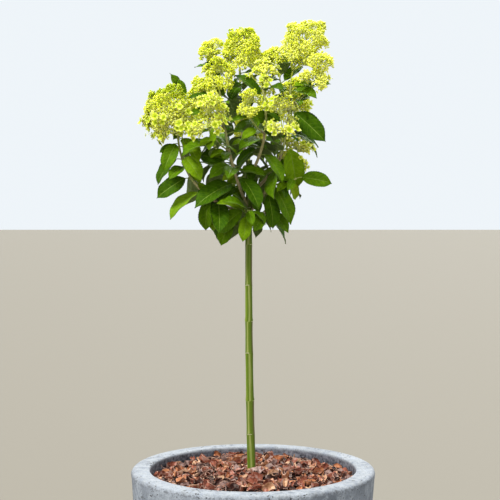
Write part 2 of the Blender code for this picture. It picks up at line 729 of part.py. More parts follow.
def grow_domes(owner, pieces, domes, space):
    """Every branchlet and dome of a panicle that is clear of all other pieces."""
    for foot, middle, radius in domes:
        twig = cone_mesh(foot, middle, (BRANCHLET_RADIUS, BRANCHLET_RADIUS), 3)
        dome = dome_mesh(foot, middle, radius)
        wide = dome_mesh(foot, middle, radius + LEAF_GAP)
        if space.is_free(twig, owner) and space.is_free(wide, owner):
            for bm in (twig, dome):
                space.take(owner, bm)
                pieces.append(object_from(bm, "dome"))


def grow_leaves(choices, pieces, owner, space):
    """The blade and petiole of each leaf that finds a free place, as pieces to fuse."""
    for places in choices:
        leaf = first_free(places, space, owner)
        if leaf:
            for bm in (leaf.blade_mesh(), leaf.petiole_mesh()):
                space.take(owner + "_leaves", bm)
                pieces.append(object_from(bm, "leaf"))


def make_head(limbs, space):
    """The masses of leaves and the panicles. What comes first has the first choice of room."""
    masses = grow_stems(limbs, space)
    stalks = grow_stalks(limbs, space)
    for mass, pieces in masses.items():
        grow_leaves(outline_leaves(limbs, mass), pieces, mass, space)
    for owner, (pieces, domes) in stalks.items():
        grow_domes(owner, pieces, domes, space)
    for index in range(SKIRT_TWIGS):
        mass = f"skirt_{index + 1}"
        grow_leaves(skirt_leaves(index, limbs[mass]), masses[mass], mass, space)
    for name, _, _, _, pairs, turn in SHOOTS:
        choices = rule_leaves(name, limbs[name], pairs, math.radians(turn))
        grow_leaves(choices, masses[name], name, space)
    for mass, pieces in masses.items():
        finish(fuse(pieces), mass if mass.startswith("skirt") else "shoot_" + mass, "foliage")
    for owner, (pieces, _) in stalks.items():
        finish(fuse(pieces), owner, "blossom")


def main():
    for obj in list(bpy.data.objects):
        bpy.data.objects.remove(obj, do_unlink=True)
    collection("panicle_hydrangea")
    collection("workbench")
    make_pot()
    make_soil()
    make_mulch()
    finish(object_from(trunk_mesh(), "trunk"), "trunk", "green_stem")
    limbs = grow_limbs()
    space = Space()
    space.take("trunk", trunk_mesh())
    make_boughs(limbs, space)
    make_head(limbs, space)
    bpy.data.collections.remove(bpy.data.collections["workbench"])


main()
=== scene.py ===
"""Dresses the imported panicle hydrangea: a young standard with one bare green stem in a round cast pot.

Metres, +Z up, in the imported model's own frame. The head is grown again by the rule of the part's source.
"""

import math
import random

import bpy
import numpy as np
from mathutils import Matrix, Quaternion, Vector
from mathutils.bvhtree import BVHTree


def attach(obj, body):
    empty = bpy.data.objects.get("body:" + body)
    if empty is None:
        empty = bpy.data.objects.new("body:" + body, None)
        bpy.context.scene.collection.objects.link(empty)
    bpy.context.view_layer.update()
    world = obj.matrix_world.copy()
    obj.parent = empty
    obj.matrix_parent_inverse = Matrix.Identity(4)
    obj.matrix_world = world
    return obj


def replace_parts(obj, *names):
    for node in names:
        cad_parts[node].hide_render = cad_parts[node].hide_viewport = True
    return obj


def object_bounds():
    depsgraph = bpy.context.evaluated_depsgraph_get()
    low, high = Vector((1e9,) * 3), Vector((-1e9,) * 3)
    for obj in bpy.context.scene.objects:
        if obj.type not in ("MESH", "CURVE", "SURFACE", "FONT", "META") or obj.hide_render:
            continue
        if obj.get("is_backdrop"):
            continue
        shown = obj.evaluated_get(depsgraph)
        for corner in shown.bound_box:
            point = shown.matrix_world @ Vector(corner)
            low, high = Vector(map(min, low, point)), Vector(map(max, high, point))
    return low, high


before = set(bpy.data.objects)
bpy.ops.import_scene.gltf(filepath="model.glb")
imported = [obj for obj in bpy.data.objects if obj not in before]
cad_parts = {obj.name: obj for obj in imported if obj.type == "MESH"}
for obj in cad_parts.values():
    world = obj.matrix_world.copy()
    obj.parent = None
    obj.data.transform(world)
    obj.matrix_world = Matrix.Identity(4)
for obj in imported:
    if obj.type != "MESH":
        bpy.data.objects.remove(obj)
cad_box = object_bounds()


# Pot: a round planter cast in light grey cement, with a thick soft-edged lip and a wall that tapers to its
# foot. It is turned from its profile, and casting leaves it slight waves, pits, drips and a bloom of lime.
POT_HEIGHT = 0.400
POT_RIM_RADIUS = 0.260
POT_MOUTH_RADIUS = 0.220
POT_TAPER = math.tan(math.radians(4.2))
POT_FLOOR = 0.036
POT_LIP_DEPTH = 0.060
POT_LIP_ROUND = 0.009
POT_FOOT_ROUND = 0.005
POT_DRAIN_RADIUS = 0.014
POT_TURNS = 256
POT_WAVE = 0.0005
POT_WAVE_LEAN = 40
CEMENT_GREYS = ((0.158, 0.176, 0.208), (0.208, 0.231, 0.270), (0.275, 0.303, 0.345))
LIME_BLOOM = (0.355, 0.388, 0.434)
DRIP_GREY = (0.231, 0.246, 0.281)
# Painted light: the paler top of the lip, where the light from above falls on it.
LIP_TOP_PAINTED_LIGHT = (0.320, 0.340, 0.358)
BLOTCH_GREY = (0.095, 0.100, 0.115)
GRAIN_GREY = (0.110, 0.112, 0.120)
# Painted shade along the lip's rounded edge, where it turns down to the wall.
LIP_EDGE_PAINTED_SHADE = (0.085, 0.090, 0.100)
# Darker greys for the wall inside the mouth, below the lip.
MOUTH_DARK_GREYS = ((0.044, 0.045, 0.056), (0.186, 0.186, 0.214))
NICK_BLACK = (0.030, 0.030, 0.034)
PIT_BLACK = (0.060, 0.058, 0.056)
NICK_SHAKE = 0.014


def grid_faces(rows, columns, round_rows=False, round_columns=False):
    """Four-sided faces over a grid of points, row after row, closed round where asked."""
    row = np.arange(rows if round_rows else rows - 1)[:, None]
    column = np.arange(columns if round_columns else columns - 1)[None, :]
    next_row, next_column = (row + 1) % rows, (column + 1) % columns
    corners = [row * columns + column, row * columns + next_column]
    corners += [next_row * columns + next_column, next_row * columns + column]
    return np.stack(corners, -1).reshape(-1, 4)


class Heap:
    """Points and faces of many small shapes, to be joined into one piece."""

    def __init__(self):
        self.points, self.faces, self.marks, self.spots, self.count = [], [], [], [], 0

    def add(self, points, *faces, mark=0, spots=None):
        """Adds a shape. mark picks each face's finish, and spots are its points on a flat map of its form."""
        points = np.asarray(points, float).reshape(-1, 3)
        self.faces += [group + self.count for group in faces]
        self.marks.append(np.broadcast_to(mark, sum(len(group) for group in faces)))
        self.points.append(points)
        self.spots.append(np.zeros((len(points), 2)) if spots is None else spots)
        self.count += len(points)

    def piece(self, name, slot, finishes, sharp=None):
        """The heap as one smooth mesh object that rides on the plant's body."""
        mesh = bpy.data.meshes.new(name)
        corners = [face for group in self.faces for face in group.tolist()]
        mesh.from_pydata(np.concatenate(self.points).tolist(), [], corners)
        mesh.polygons.foreach_set("material_index", np.concatenate(self.marks).astype(np.int32))
        form = mesh.uv_layers.new(name="form")
        point_of = np.empty(len(mesh.loops), np.int32)
        mesh.loops.foreach_get("vertex_index", point_of)
        form.data.foreach_set("uv", np.concatenate(self.spots)[point_of].astype(np.float32).ravel())
        mesh.shade_smooth()
        if sharp is not None:
            mesh.set_sharp_from_angle(angle=math.radians(sharp))
        for finish in finishes:
            mesh.materials.append(finish.material)
        made = bpy.data.objects.new(name, mesh)
        bpy.context.scene.collection.objects.link(made)
        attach(made, "root")
        return made


class Finish:
    """A material in the making. Each call adds one node and gives its output."""

    def __init__(self, name, roughness=0.6, gloss=0.5):
        self.material = bpy.data.materials.new(name)
        self.material.use_nodes = True
        self.nodes, self.links = self.material.node_tree.nodes, self.material.node_tree.links
        self.shader = self.nodes["Principled BSDF"].inputs
        self.shader["Roughness"].default_value = roughness
        self.shader["Specular IOR Level"].default_value = gloss
        self.place = self.nodes.new("ShaderNodeTexCoord").outputs["Object"]

    def node(self, kind, inputs, output=0, **settings):
        made = self.nodes.new("ShaderNode" + kind)
        for key, value in settings.items():
            setattr(made, key, value)
        for key, value in inputs.items():
            self.feed(made.inputs[key], value)
        return made.outputs[output]

    def feed(self, socket, value):
        if isinstance(value, bpy.types.NodeSocket):
            self.links.new(value, socket)
        elif isinstance(value, tuple) and socket.type == "RGBA":
            socket.default_value = (*value, 1.0)
        else:
            socket.default_value = value

    def stretched(self, *scale):
        return self.node("Mapping", {"Vector": self.place, "Scale": scale})

    def noise(self, scale, detail, where=None, warp=0.0):
        inputs = {"Vector": where or self.place, "Scale": scale, "Detail": detail, "Distortion": warp}
        return self.node("TexNoise", inputs)

    def cells(self, scale, where=None, feature="F1"):
        return self.node("TexVoronoi", {"Vector": where or self.place, "Scale": scale}, feature=feature)

    def between(self, value, low, high, start=0.0, end=1.0):
        """start where the value is at low, end where it is at high, and held beyond."""
        return self.node("MapRange", {0: value, 1: low, 2: high, 3: start, 4: end})

    def math(self, operation, first, second=0.0):
        return self.node("Math", {0: first, 1: second}, operation=operation)

    def mix(self, share, first, second):
        return self.node("Mix", {0: share, 6: first, 7: second}, 2, data_type="RGBA")

    def patches(self, colour, paint, where, low, high, most):
        """The colour, painted over up to this share where the pattern runs from low to high."""
        return self.mix(self.between(where, low, high, 0.0, most), colour, paint)

    def ramp(self, value, places, colours):
        made = self.nodes.new("ShaderNodeValToRGB")
        elements = made.color_ramp.elements
        while len(elements) < len(colours):
            elements.new(1.0)
        for element, place, colour in zip(elements, places, colours):
            element.position, element.color = place, (*colour, 1.0)
        self.links.new(value, made.inputs[0])
        return made.outputs[0]

    def parts(self, vector):
        """The three numbers of a vector."""
        made = self.nodes.new("ShaderNodeSeparateXYZ")
        self.links.new(vector, made.inputs[0])
        return tuple(made.outputs)

    def form(self):
        """Across and along the piece's own form, from its flat map."""
        return self.parts(self.node("UVMap", {}, uv_map="form"))[:2]

    def wear(self, colour, roughness, height, depth):
        """Links what the nodes made to the shader. depth is the relief in metres."""
        self.links.new(colour, self.shader["Base Color"])
        if roughness is not None:
            self.links.new(roughness, self.shader["Roughness"])
        bump = self.node("Bump", {"Height": height, "Distance": depth, "Strength": 1.0})
        self.links.new(bump, self.shader["Normal"])
        return self

    def grained(self, grain, places, colours, depth, rough=None):
        """A single grain that gives the colour, the relief and, where asked, the roughness."""
        colour = self.ramp(grain, places, colours)
        return self.wear(colour, rough and self.between(grain, 0.3, 0.7, *rough), grain, depth)


def arc(centre, radius, start, end, steps):
    """An arc of a profile, from one angle to another in degrees."""
    angles = np.radians(np.linspace(start, end, steps + 1))
    return np.stack([centre[0] + radius * np.cos(angles), centre[1] + radius * np.sin(angles)], -1)


def pot_profile():
    """(radius, height) up the outside, over the lip and down the inside."""
    foot = POT_RIM_RADIUS - POT_HEIGHT * POT_TAPER
    lip_foot = POT_HEIGHT - POT_LIP_DEPTH
    floor_radius = POT_MOUTH_RADIUS - (lip_foot - POT_FLOOR) * POT_TAPER
    heights = np.linspace(POT_FOOT_ROUND, POT_HEIGHT - POT_LIP_ROUND, 40)[1:-1]
    lip_heights = np.linspace(POT_HEIGHT - POT_LIP_ROUND, lip_foot, 10)
    half_lip = POT_LIP_ROUND / 2
    return np.concatenate([
        [(POT_DRAIN_RADIUS, 0.0), (foot * 0.6, 0.0)],
        arc((foot - POT_FOOT_ROUND, POT_FOOT_ROUND), POT_FOOT_ROUND, -90, 0, 5),
        np.stack([foot + heights * POT_TAPER, heights], -1),
        arc((POT_RIM_RADIUS - POT_LIP_ROUND, POT_HEIGHT - POT_LIP_ROUND), POT_LIP_ROUND, 0, 90, 9),
        [((POT_RIM_RADIUS + POT_MOUTH_RADIUS) / 2, POT_HEIGHT)],
        arc((POT_MOUTH_RADIUS + half_lip, POT_HEIGHT - half_lip), half_lip, 90, 180, 5),
        np.stack([np.full(10, POT_MOUTH_RADIUS), lip_heights], -1),
        [(floor_radius, POT_FLOOR), (POT_DRAIN_RADIUS, POT_FLOOR)],
    ])


def make_pot():
    profile, angles = pot_profile(), np.arange(POT_TURNS) * math.tau / POT_TURNS
    radius, height = profile[:, :1], profile[:, 1:]
    dice = np.random.default_rng(11)
    wave = np.zeros((len(profile), POT_TURNS))
    for turns in (2, 3, 5, 8, 13, 21, 34):
        start, lean = dice.uniform(0, math.tau), dice.uniform(-POT_WAVE_LEAN, POT_WAVE_LEAN)
        wave += np.sin(turns * angles + start + lean * height) * POT_WAVE / turns**0.5 * dice.uniform(0.5, 1)
    shown = (height > POT_FOOT_ROUND) & (radius > POT_MOUTH_RADIUS + 0.001)
    radius = radius + wave * shown
    height = height + wave[:, ::-1] * 0.5 * (shown & (height > POT_HEIGHT - POT_LIP_ROUND))
    points = np.stack([radius * np.cos(angles), radius * np.sin(angles), height + 0 * angles], -1)
    heap = Heap()
    heap.add(points, grid_faces(len(profile), POT_TURNS, True, True))
    return heap.piece("pot_shell", "pot_cement", [cement()], sharp=50)


def cement():
    """Light bluish grey, mottled, with drips, pits and nicks. The lip's top is paler in patches as painted
    light, its rounded edge darker as painted shade, and the wall darker inside the mouth above the bark.
    """
    made = Finish("cast_cement", gloss=0.25)
    cloud = made.noise(9.0, 6.0, warp=0.6)
    grain = made.noise(430.0, 2.0)
    colour = made.ramp(cloud, (0.36, 0.50, 0.62), CEMENT_GREYS)
    colour = made.patches(colour, LIME_BLOOM, made.noise(48.0, 9.0, warp=0.7), 0.48, 0.64, 0.75)
    drips = made.noise(1.0, 5.0, where=made.stretched(46.0, 46.0, 3.0))
    colour = made.patches(colour, DRIP_GREY, drips, 0.60, 0.72, 0.45)
    east, north, up = made.parts(made.place)
    level = made.node("CombineXYZ", {0: east, 1: north})
    from_axis = made.node("VectorMath", {0: level}, 1, operation="LENGTH")
    # Painted light: the top of the lip is made paler in patches, where the light from above falls on it.
    on_lip = made.between(up, POT_HEIGHT - 0.011, POT_HEIGHT - 0.0015)
    lip_light_patches = made.between(made.noise(75.0, 9.0), 0.36, 0.60, 0.05, 0.90)
    colour = made.mix(made.math("MULTIPLY", on_lip, lip_light_patches), colour, LIP_TOP_PAINTED_LIGHT)
    colour = made.patches(colour, BLOTCH_GREY, made.noise(150.0, 6.0), 0.54, 0.66, 0.32)
    colour = made.patches(colour, GRAIN_GREY, grain, 0.46, 0.72, 0.55)
    # Painted shade: a dark band, broken by noise, along the lip's rounded edge where it turns down to the
    # wall.
    over_wall = made.between(up, POT_HEIGHT - 0.014, POT_HEIGHT - 0.008)
    under_rim = made.between(up, POT_HEIGHT - 0.0015, POT_HEIGHT - 0.006)
    edge = made.math("MULTIPLY", over_wall, under_rim)
    edge = made.math("MULTIPLY", edge, made.between(made.noise(230.0, 5.0), 0.48, 0.58, 0.0, 0.65))
    colour = made.mix(edge, colour, LIP_EDGE_PAINTED_SHADE)
    # The wall inside the mouth, below the lip, is darker.
    mouth_dark = made.ramp(made.noise(130.0, 8.0), (0.37, 0.63), MOUTH_DARK_GREYS)
    within_mouth = made.between(from_axis, POT_MOUTH_RADIUS + 0.0006, POT_MOUTH_RADIUS + 0.0002)
    below_lip = made.between(up, POT_HEIGHT - 0.003, POT_HEIGHT - 0.008)
    colour = made.mix(made.math("MULTIPLY", within_mouth, below_lip), colour, mouth_dark)
    jitter = made.node("TexNoise", {"Vector": made.place, "Scale": 70.0, "Detail": 3.0}, 1)
    steps = {0: jitter, 1: (NICK_SHAKE, NICK_SHAKE, NICK_SHAKE), 2: made.place}
    shaken = made.node("VectorMath", steps, operation="MULTIPLY_ADD")
    nicks = made.between(made.cells(64.0, shaken), 0.13, 0.08)
    nicks = made.math("MULTIPLY", nicks, made.between(made.noise(21.0, 2.0), 0.46, 0.52))
    colour = made.mix(nicks, colour, NICK_BLACK)
    pit_size = made.noise(34.0, 2.0)
    pits = made.math("SUBTRACT", made.cells(170.0), made.between(pit_size, 0.44, 0.66, 0.0, 0.30))
    unpitted = made.between(pits, 0.0, 0.05)
    colour = made.mix(unpitted, PIT_BLACK, colour)
    height = made.math("ADD", made.math("MULTIPLY", grain, -0.25), made.math("SUBTRACT", unpitted, nicks))
    height = made.math("ADD", height, made.math("MULTIPLY", made.noise(90.0, 6.0), 0.8))
    return made.wear(colour, made.between(cloud, 0.3, 0.7, 0.92, 0.74), height, 0.0007)


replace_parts(make_pot(), "pot")


# Potting soil: dark peat with bits of bark and grit in it, filled in by hand up to the lip. The bark covers
# it, so its solid is kept as it is and only gets its finish.
PEAT_BROWNS = ((0.012, 0.008, 0.006), (0.040, 0.027, 0.018), (0.110, 0.075, 0.050))
GRIT_GREY = (0.34, 0.30, 0.25)


def soil():
    made = Finish("dark_peat", gloss=0.1)
    crumbs = made.noise(260.0, 6.0)
    colour = made.ramp(crumbs, (0.35, 0.55, 0.75), PEAT_BROWNS)
    grit = made.between(made.cells(180.0), 0.16, 0.10)
    colour = made.mix(grit, colour, GRIT_GREY)
    rough = made.between(crumbs, 0.3, 0.7, 1.0, 0.8)
    return made.wear(colour, rough, made.math("ADD", crumbs, grit), 0.003)


soil_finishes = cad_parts["potting_soil"].data.materials
soil_finishes.clear()
soil_finishes.append(soil().material)


# Mulch: thin curled chips of pine bark, 12 to 29 mm long, thrown loosely over the soil. Each chip is bent
# across and along, with torn edges, and they lie in red brown, orange, dark, grey violet and pale tan. The
# pale torn edges are partly painted highlight, and the deepest chips and the ground under them are dark as
# painted shade.
MULCH_EDGE_TOP = 0.372
MULCH_MOUND = 0.008
MULCH_EDGE_RADIUS = 0.2190
STEM_MOUND = 0.0055
STEM_MOUND_REACH = 0.060
BED_DEPTH = 0.005
BED_FOOT = 0.3625
BED_GRID = (46, 180)
CHIPS = 1300
CHIP_GRID = (6, 4)
CHIP_LENGTH = (0.012, 0.029)
CHIP_WIDTH = (0.45, 0.80)
CHIP_THICKNESS = (0.0012, 0.0026)
CHIP_TAPER = (0.15, 0.75)
CHIP_CURL = (0.55, 1.45)
CHIP_BEND = (-0.10, 0.24)
CHIP_TILT = (0.58, 0.38)
CHIP_LIFT = 0.0035
CHIP_DEPTHS = (-0.0070, 0.0076)
# The chips thrown first lie deepest, and most of those are made dark as painted shade in the gaps.
DEEP_SHARE = 0.55
DEEP_PAINTED_SHADE_SHARE = 0.6
STEM_CHIPS = 26
STEM_CHIP_RADII = (0.016, 0.030)
STEM_AXIS_X = -0.002
STEM_CLEARANCE = 0.0108
# Kind of chip: shade and light of its bark, and how many of a hundred are of that kind.
CHIP_KINDS = {
    "chips_red": ((0.120, 0.032, 0.019), (0.370, 0.125, 0.074), 42),
    "chips_orange": ((0.269, 0.098, 0.042), (0.550, 0.235, 0.110), 15),
    "chips_dark": ((0.014, 0.006, 0.005), (0.080, 0.030, 0.022), 16),
    "chips_violet": ((0.120, 0.068, 0.058), (0.340, 0.220, 0.190), 15),
    "chips_tan": ((0.360, 0.190, 0.105), (0.740, 0.480, 0.300), 12),
}
CHIP_DUST = (0.34, 0.29, 0.26)
# Pale torn edges of the chips, partly painted highlight.
TORN_EDGE_AND_HIGHLIGHT = ((0.120, 0.050, 0.032), (0.620, 0.420, 0.320))
# Near-black bark under the chips, as painted shade between them.
BED_PAINTED_SHADE = ((0.008, 0.004, 0.003), (0.036, 0.016, 0.011))


def blend(low, high, share):
    return low + (high - low) * share


def mulch_top(radius):
    return MULCH_EDGE_TOP + MULCH_MOUND * (1 - (radius / POT_MOUTH_RADIUS) ** 2)


def bark(name, low, high):
    """Bark grained from dark to light, with pale dust in patches, dark flecks and a matt skin."""
    made = Finish(name, gloss=0.15)
    grain = made.noise(110.0, 5.0, warp=1.2)
    colour = made.ramp(grain, (0.34, 0.64), (low, high))
    dusty = tuple(tone * 0.5 + dust for tone, dust in zip(high, CHIP_DUST))
    colour = made.patches(colour, dusty, made.noise(75.0, 7.0, warp=0.5), 0.53, 0.64, 0.55)
    fleck = tuple(tone * 0.5 for tone in low)
    colour = made.patches(colour, fleck, made.noise(800.0, 3.0), 0.62, 0.72, 0.5)
    return made.wear(colour, made.between(grain, 0.3, 0.7, 0.90, 0.55), grain, 0.0005)


def torn_edge_and_highlight():
    """The pale edge of a chip: fresh torn bark, and partly a painted highlight where light catches it."""
    made = Finish("torn_edge_and_highlight", 0.9, 0.1)
    return made.grained(made.noise(160.0, 4.0), (0.35, 0.70), TORN_EDGE_AND_HIGHLIGHT, 0.0004)


# Painted shade: the settled bark under the chips is near black, for the shade between them.
def settled_bark_in_painted_shade():
    made = Finish("settled_bark_in_painted_shade", gloss=0.1)
    return made.grained(made.noise(300.0, 5.0), (0.35, 0.70), BED_PAINTED_SHADE, 0.002, (1.0, 0.85))


def make_bed():
    """The ground between the chips: settled bark, mounded towards the stem, near black as painted shade."""
    dice, (rings, turns) = np.random.default_rng(5), BED_GRID
    radii, angles = np.linspace(0.004, POT_MOUTH_RADIUS - 0.0004, rings), np.arange(turns) * math.tau / turns
    height = mulch_top(radii)[:, None] - BED_DEPTH + dice.normal(0, 0.0011, BED_GRID)
    points = np.stack([radii[:, None] * np.cos(angles), radii[:, None] * np.sin(angles), height], -1)
    skirt = points[-1] * (1, 1, 0) + (0, 0, BED_FOOT)
    heap = Heap()
    faces = grid_faces(rings + 1, turns, round_columns=True)[:, ::-1]
    heap.add(np.concatenate([points.reshape(-1, 3), skirt]), faces)
    return heap.piece("mulch_bed", "bark_mulch", [settled_bark_in_painted_shade()])


def chip_shape(dice):
    """One chip lying flat, as a grid of points above and the same below."""
    length, width = dice.uniform(*CHIP_LENGTH), dice.uniform(*CHIP_WIDTH)
    rows, columns = CHIP_GRID
    along, over = np.meshgrid(np.linspace(-1, 1, rows), np.linspace(-1, 1, columns), indexing="ij")
    taper = 1 - dice.uniform(*CHIP_TAPER) * np.abs(along) ** dice.uniform(1.4, 3.0)
    half_length, half_width = length / 2, length * width / 2
    x = along * half_length * (1 + dice.normal(0, 0.05, CHIP_GRID))
    x = x + over * half_width * dice.uniform(-0.3, 0.3)
    y = over * half_width * taper * (1 + dice.normal(0, 0.10, CHIP_GRID))
    z = over**2 * half_width * dice.choice((-1, 1)) * dice.uniform(*CHIP_CURL)
    z = z - along**2 * length * dice.uniform(*CHIP_BEND)
    z = z + dice.normal(0, 0.0004, CHIP_GRID)
    thickness = dice.uniform(*CHIP_THICKNESS) * np.where(np.abs(over) == 1, 0.55, 1.0)
    upper = np.stack([x, y, z], -1).reshape(-1, 3)
    return np.concatenate([upper, upper - np.stack([0 * x, 0 * y, thickness], -1).reshape(-1, 3)])


def chip_faces():
    """A chip's faces, above, below and then round its torn edge, and which of them are that edge."""
    grid, skin = np.arange(math.prod(CHIP_GRID)).reshape(CHIP_GRID), grid_faces(*CHIP_GRID)
    rim = [*grid[0], *grid[1:, -1], *grid[-1, -2::-1], *grid[-2:0:-1, 0]]
    under = grid.size
    sides = [(b, a, a + under, b + under) for a, b in zip(rim, rim[1:] + rim[:1])]
    faces = np.concatenate([skin[:, ::-1], skin + under, sides])
    return faces, np.arange(len(faces)) >= 2 * len(skin)


def place_chip(k, dice):
    """The k-th chip where it fell, tilted and turned. The last ones lie close round the stem."""
    flat = chip_shape(dice)
    reach = np.abs(flat[:, :2]).max()
    radius = math.sqrt(dice.uniform(0.0025, 1)) * (MULCH_EDGE_RADIUS - reach * 0.8)
    turn = dice.uniform(0, math.tau)
    if k >= CHIPS - STEM_CHIPS:
        radius = dice.uniform(*STEM_CHIP_RADII)
    tilt = Quaternion(Vector((*dice.normal(0, 1, 2), 0)).normalized(), dice.normal(*CHIP_TILT))
    yaw = Quaternion((0, 0, 1), dice.uniform(0, math.tau))
    height = mulch_top(radius) + CHIP_LIFT
    height += blend(*CHIP_DEPTHS, k / CHIPS) + dice.uniform(-0.001, 0.001)
    height += STEM_MOUND * math.exp(-((radius / STEM_MOUND_REACH) ** 2))
    placed = flat @ np.array((tilt @ yaw).to_matrix()).T
    return placed + np.array([radius * math.cos(turn), radius * math.sin(turn), height])


def make_chips():
    heaps, kinds = {name: Heap() for name in CHIP_KINDS}, list(CHIP_KINDS)
    shares = np.array([share for _, _, share in CHIP_KINDS.values()], float)
    shares /= shares.sum()
    dice, (faces, on_edge), edge = np.random.default_rng(23), chip_faces(), torn_edge_and_highlight()
    for k in range(CHIPS):
        chip = place_chip(k, dice)
        inside = np.hypot(chip[:, 0], chip[:, 1]).max() < MULCH_EDGE_RADIUS
        if inside and np.hypot(chip[:, 0] - STEM_AXIS_X, chip[:, 1]).min() > STEM_CLEARANCE:
            kind = dice.choice(kinds, p=shares)
            # Painted shade: most of the deepest chips are dark, for the shade in the gaps between chips.
            if k < CHIPS * DEEP_SHARE and dice.uniform() < DEEP_PAINTED_SHADE_SHARE:
                kind = "chips_dark"
            heaps[kind].add(chip, faces, mark=on_edge)
    for name, heap in heaps.items():
        low, high, _ = CHIP_KINDS[name]
        finishes = [bark("bark_" + name, low, high), edge]
        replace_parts(heap.piece(name, "bark_mulch", finishes, sharp=40), "bark_mulch")


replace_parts(make_bed(), "bark_mulch")
make_chips()


# Trunk: one clear stem, grown nearly straight and pruned inside the head. Its bark is green and smooth,
# streaked pale and brown, with a slanting scar on a low swelling where each pair of leaves was taken off.
TRUNK_FOOT = Vector((-0.002, 0.0, 0.3623))
TRUNK_TOP = Vector((-0.008, 0.002, 1.056))
TRUNK_SWAY = -0.0035
TRUNK_RADII = (0.0090, 0.0064)
TRUNK_FLARE = 0.0022
TRUNK_FLARE_HEIGHT = 0.014
TRUNK_COLUMNS = 64
TRUNK_ROW = 0.004
TRUNK_SCARS = (0.471, 0.543, 0.645, 0.713, 0.790, 0.877, 0.955, 1.030)
SCAR_REACH = 0.007
SCAR_ROW = 0.0007
SCAR_SLANT = 0.0016
# Where a scar's buds face: the first turn, the turn from one pair to the next, and how far that strays.
SCAR_FIRST_TURN = -1.9
SCAR_CROSS_TURN = 1.45
SCAR_TURN_STRAY = 0.3
SCAR_RIDGE_PART = 0.52
SCAR_NEAR_BUD = 1.62
# How far each stands out from the bark, and its height: a scar's ridge, the swelling round it, its bud mark.
SCAR_RIDGE = (0.00019, 0.0013)
SCAR_SWELLING = (0.00035, 0.012)
SCAR_BUD = (0.0009, 0.0028)
SCAR_BUD_RISE = 0.0035
# How far the streaks are turned round the stem on each stretch between scars, in turns.
STREAK_SHIFTS = (0.0, 0.05, -0.04, 0.03, -0.06, 0.04, -0.03, 0.05, 0.0)
# Streaks of the bark once round the stem, from its back: place in turns, colour.
BARK_STREAKS = (
    (0.00, (0.096, 0.137, 0.012)),
    (0.20, (0.239, 0.296, 0.059)),
    (0.28, (0.148, 0.211, 0.016)),
    (0.40, (0.064, 0.115, 0.003)),
    (0.47, (0.255, 0.277, 0.081)),
    (0.53, (0.096, 0.148, 0.009)),
    (0.66, (0.080, 0.122, 0.009)),
    (0.73, (0.144, 0.118, 0.055)),
    (0.84, (0.100, 0.111, 0.019)),
    (1.00, (0.096, 0.137, 0.012)),
)
PALE_THREAD = (0.255, 0.296, 0.059)
DARK_THREAD = (0.048, 0.070, 0.009)
BARK_SPECK = (0.367, 0.296, 0.177)
SCAR_TANS = ((0.27, 0.28, 0.12), (0.56, 0.56, 0.32))


def trunk_point(height):
    share = (height - TRUNK_FOOT.z) / (TRUNK_TOP.z - TRUNK_FOOT.z)
    return TRUNK_FOOT.lerp(TRUNK_TOP, share) + Vector((TRUNK_SWAY * math.sin(math.pi * share), 0, 0))


def trunk_radius(height):
    up = height - TRUNK_FOOT.z
    share = up / (TRUNK_TOP.z - TRUNK_FOOT.z)
    return blend(*TRUNK_RADII, share) + TRUNK_FLARE * math.exp(-up / TRUNK_FLARE_HEIGHT)


def trunk_heights():
    """Rows up the trunk, close together at the scars."""
    steps = np.arange(-SCAR_REACH, SCAR_REACH + 0.0001, SCAR_ROW)
    near = [scar + step for scar in TRUNK_SCARS for step in steps]
    far = np.arange(TRUNK_FOOT.z, TRUNK_TOP.z, TRUNK_ROW)
    clear = [z for z in far if min(abs(z - scar) for scar in TRUNK_SCARS) > SCAR_REACH + 0.0004]
    return np.array(sorted([*near, *clear, TRUNK_TOP.z]))


def bell(offset, half_width):
    """A smooth hump, 1 in the middle."""
    return np.exp(-((offset / half_width) ** 2))


def raise_scar(k, heights, angles, radii, marks):
    """Raises the k-th scar from the bark, and marks the faces of its corky ridge."""
    above = heights[:, None] - TRUNK_SCARS[k]
    facing = SCAR_FIRST_TURN + SCAR_CROSS_TURN * (k % 2) + SCAR_TURN_STRAY * math.sin(k * 2.4)
    up = above - SCAR_SLANT * np.sin(angles - facing + 0.9)
    near_bud = np.abs(np.cos(angles - facing)) * np.ones((len(heights), 1))
    radii += SCAR_RIDGE[0] * bell(up, SCAR_RIDGE[1]) + SCAR_SWELLING[0] * bell(above, SCAR_SWELLING[1])
    radii += SCAR_BUD[0] * near_bud**14 * bell(above - SCAR_BUD_RISE, SCAR_BUD[1])
    middle = (up[1:] + up[:-1]) / 2 / SCAR_RIDGE[1]
    on_ridge = np.abs(middle[:, 1:] + middle[:, :-1]) / 2 < SCAR_RIDGE_PART
    marks[on_ridge & (near_bud[1:, 1:] + near_bud[:-1, :-1] > SCAR_NEAR_BUD)] = 1


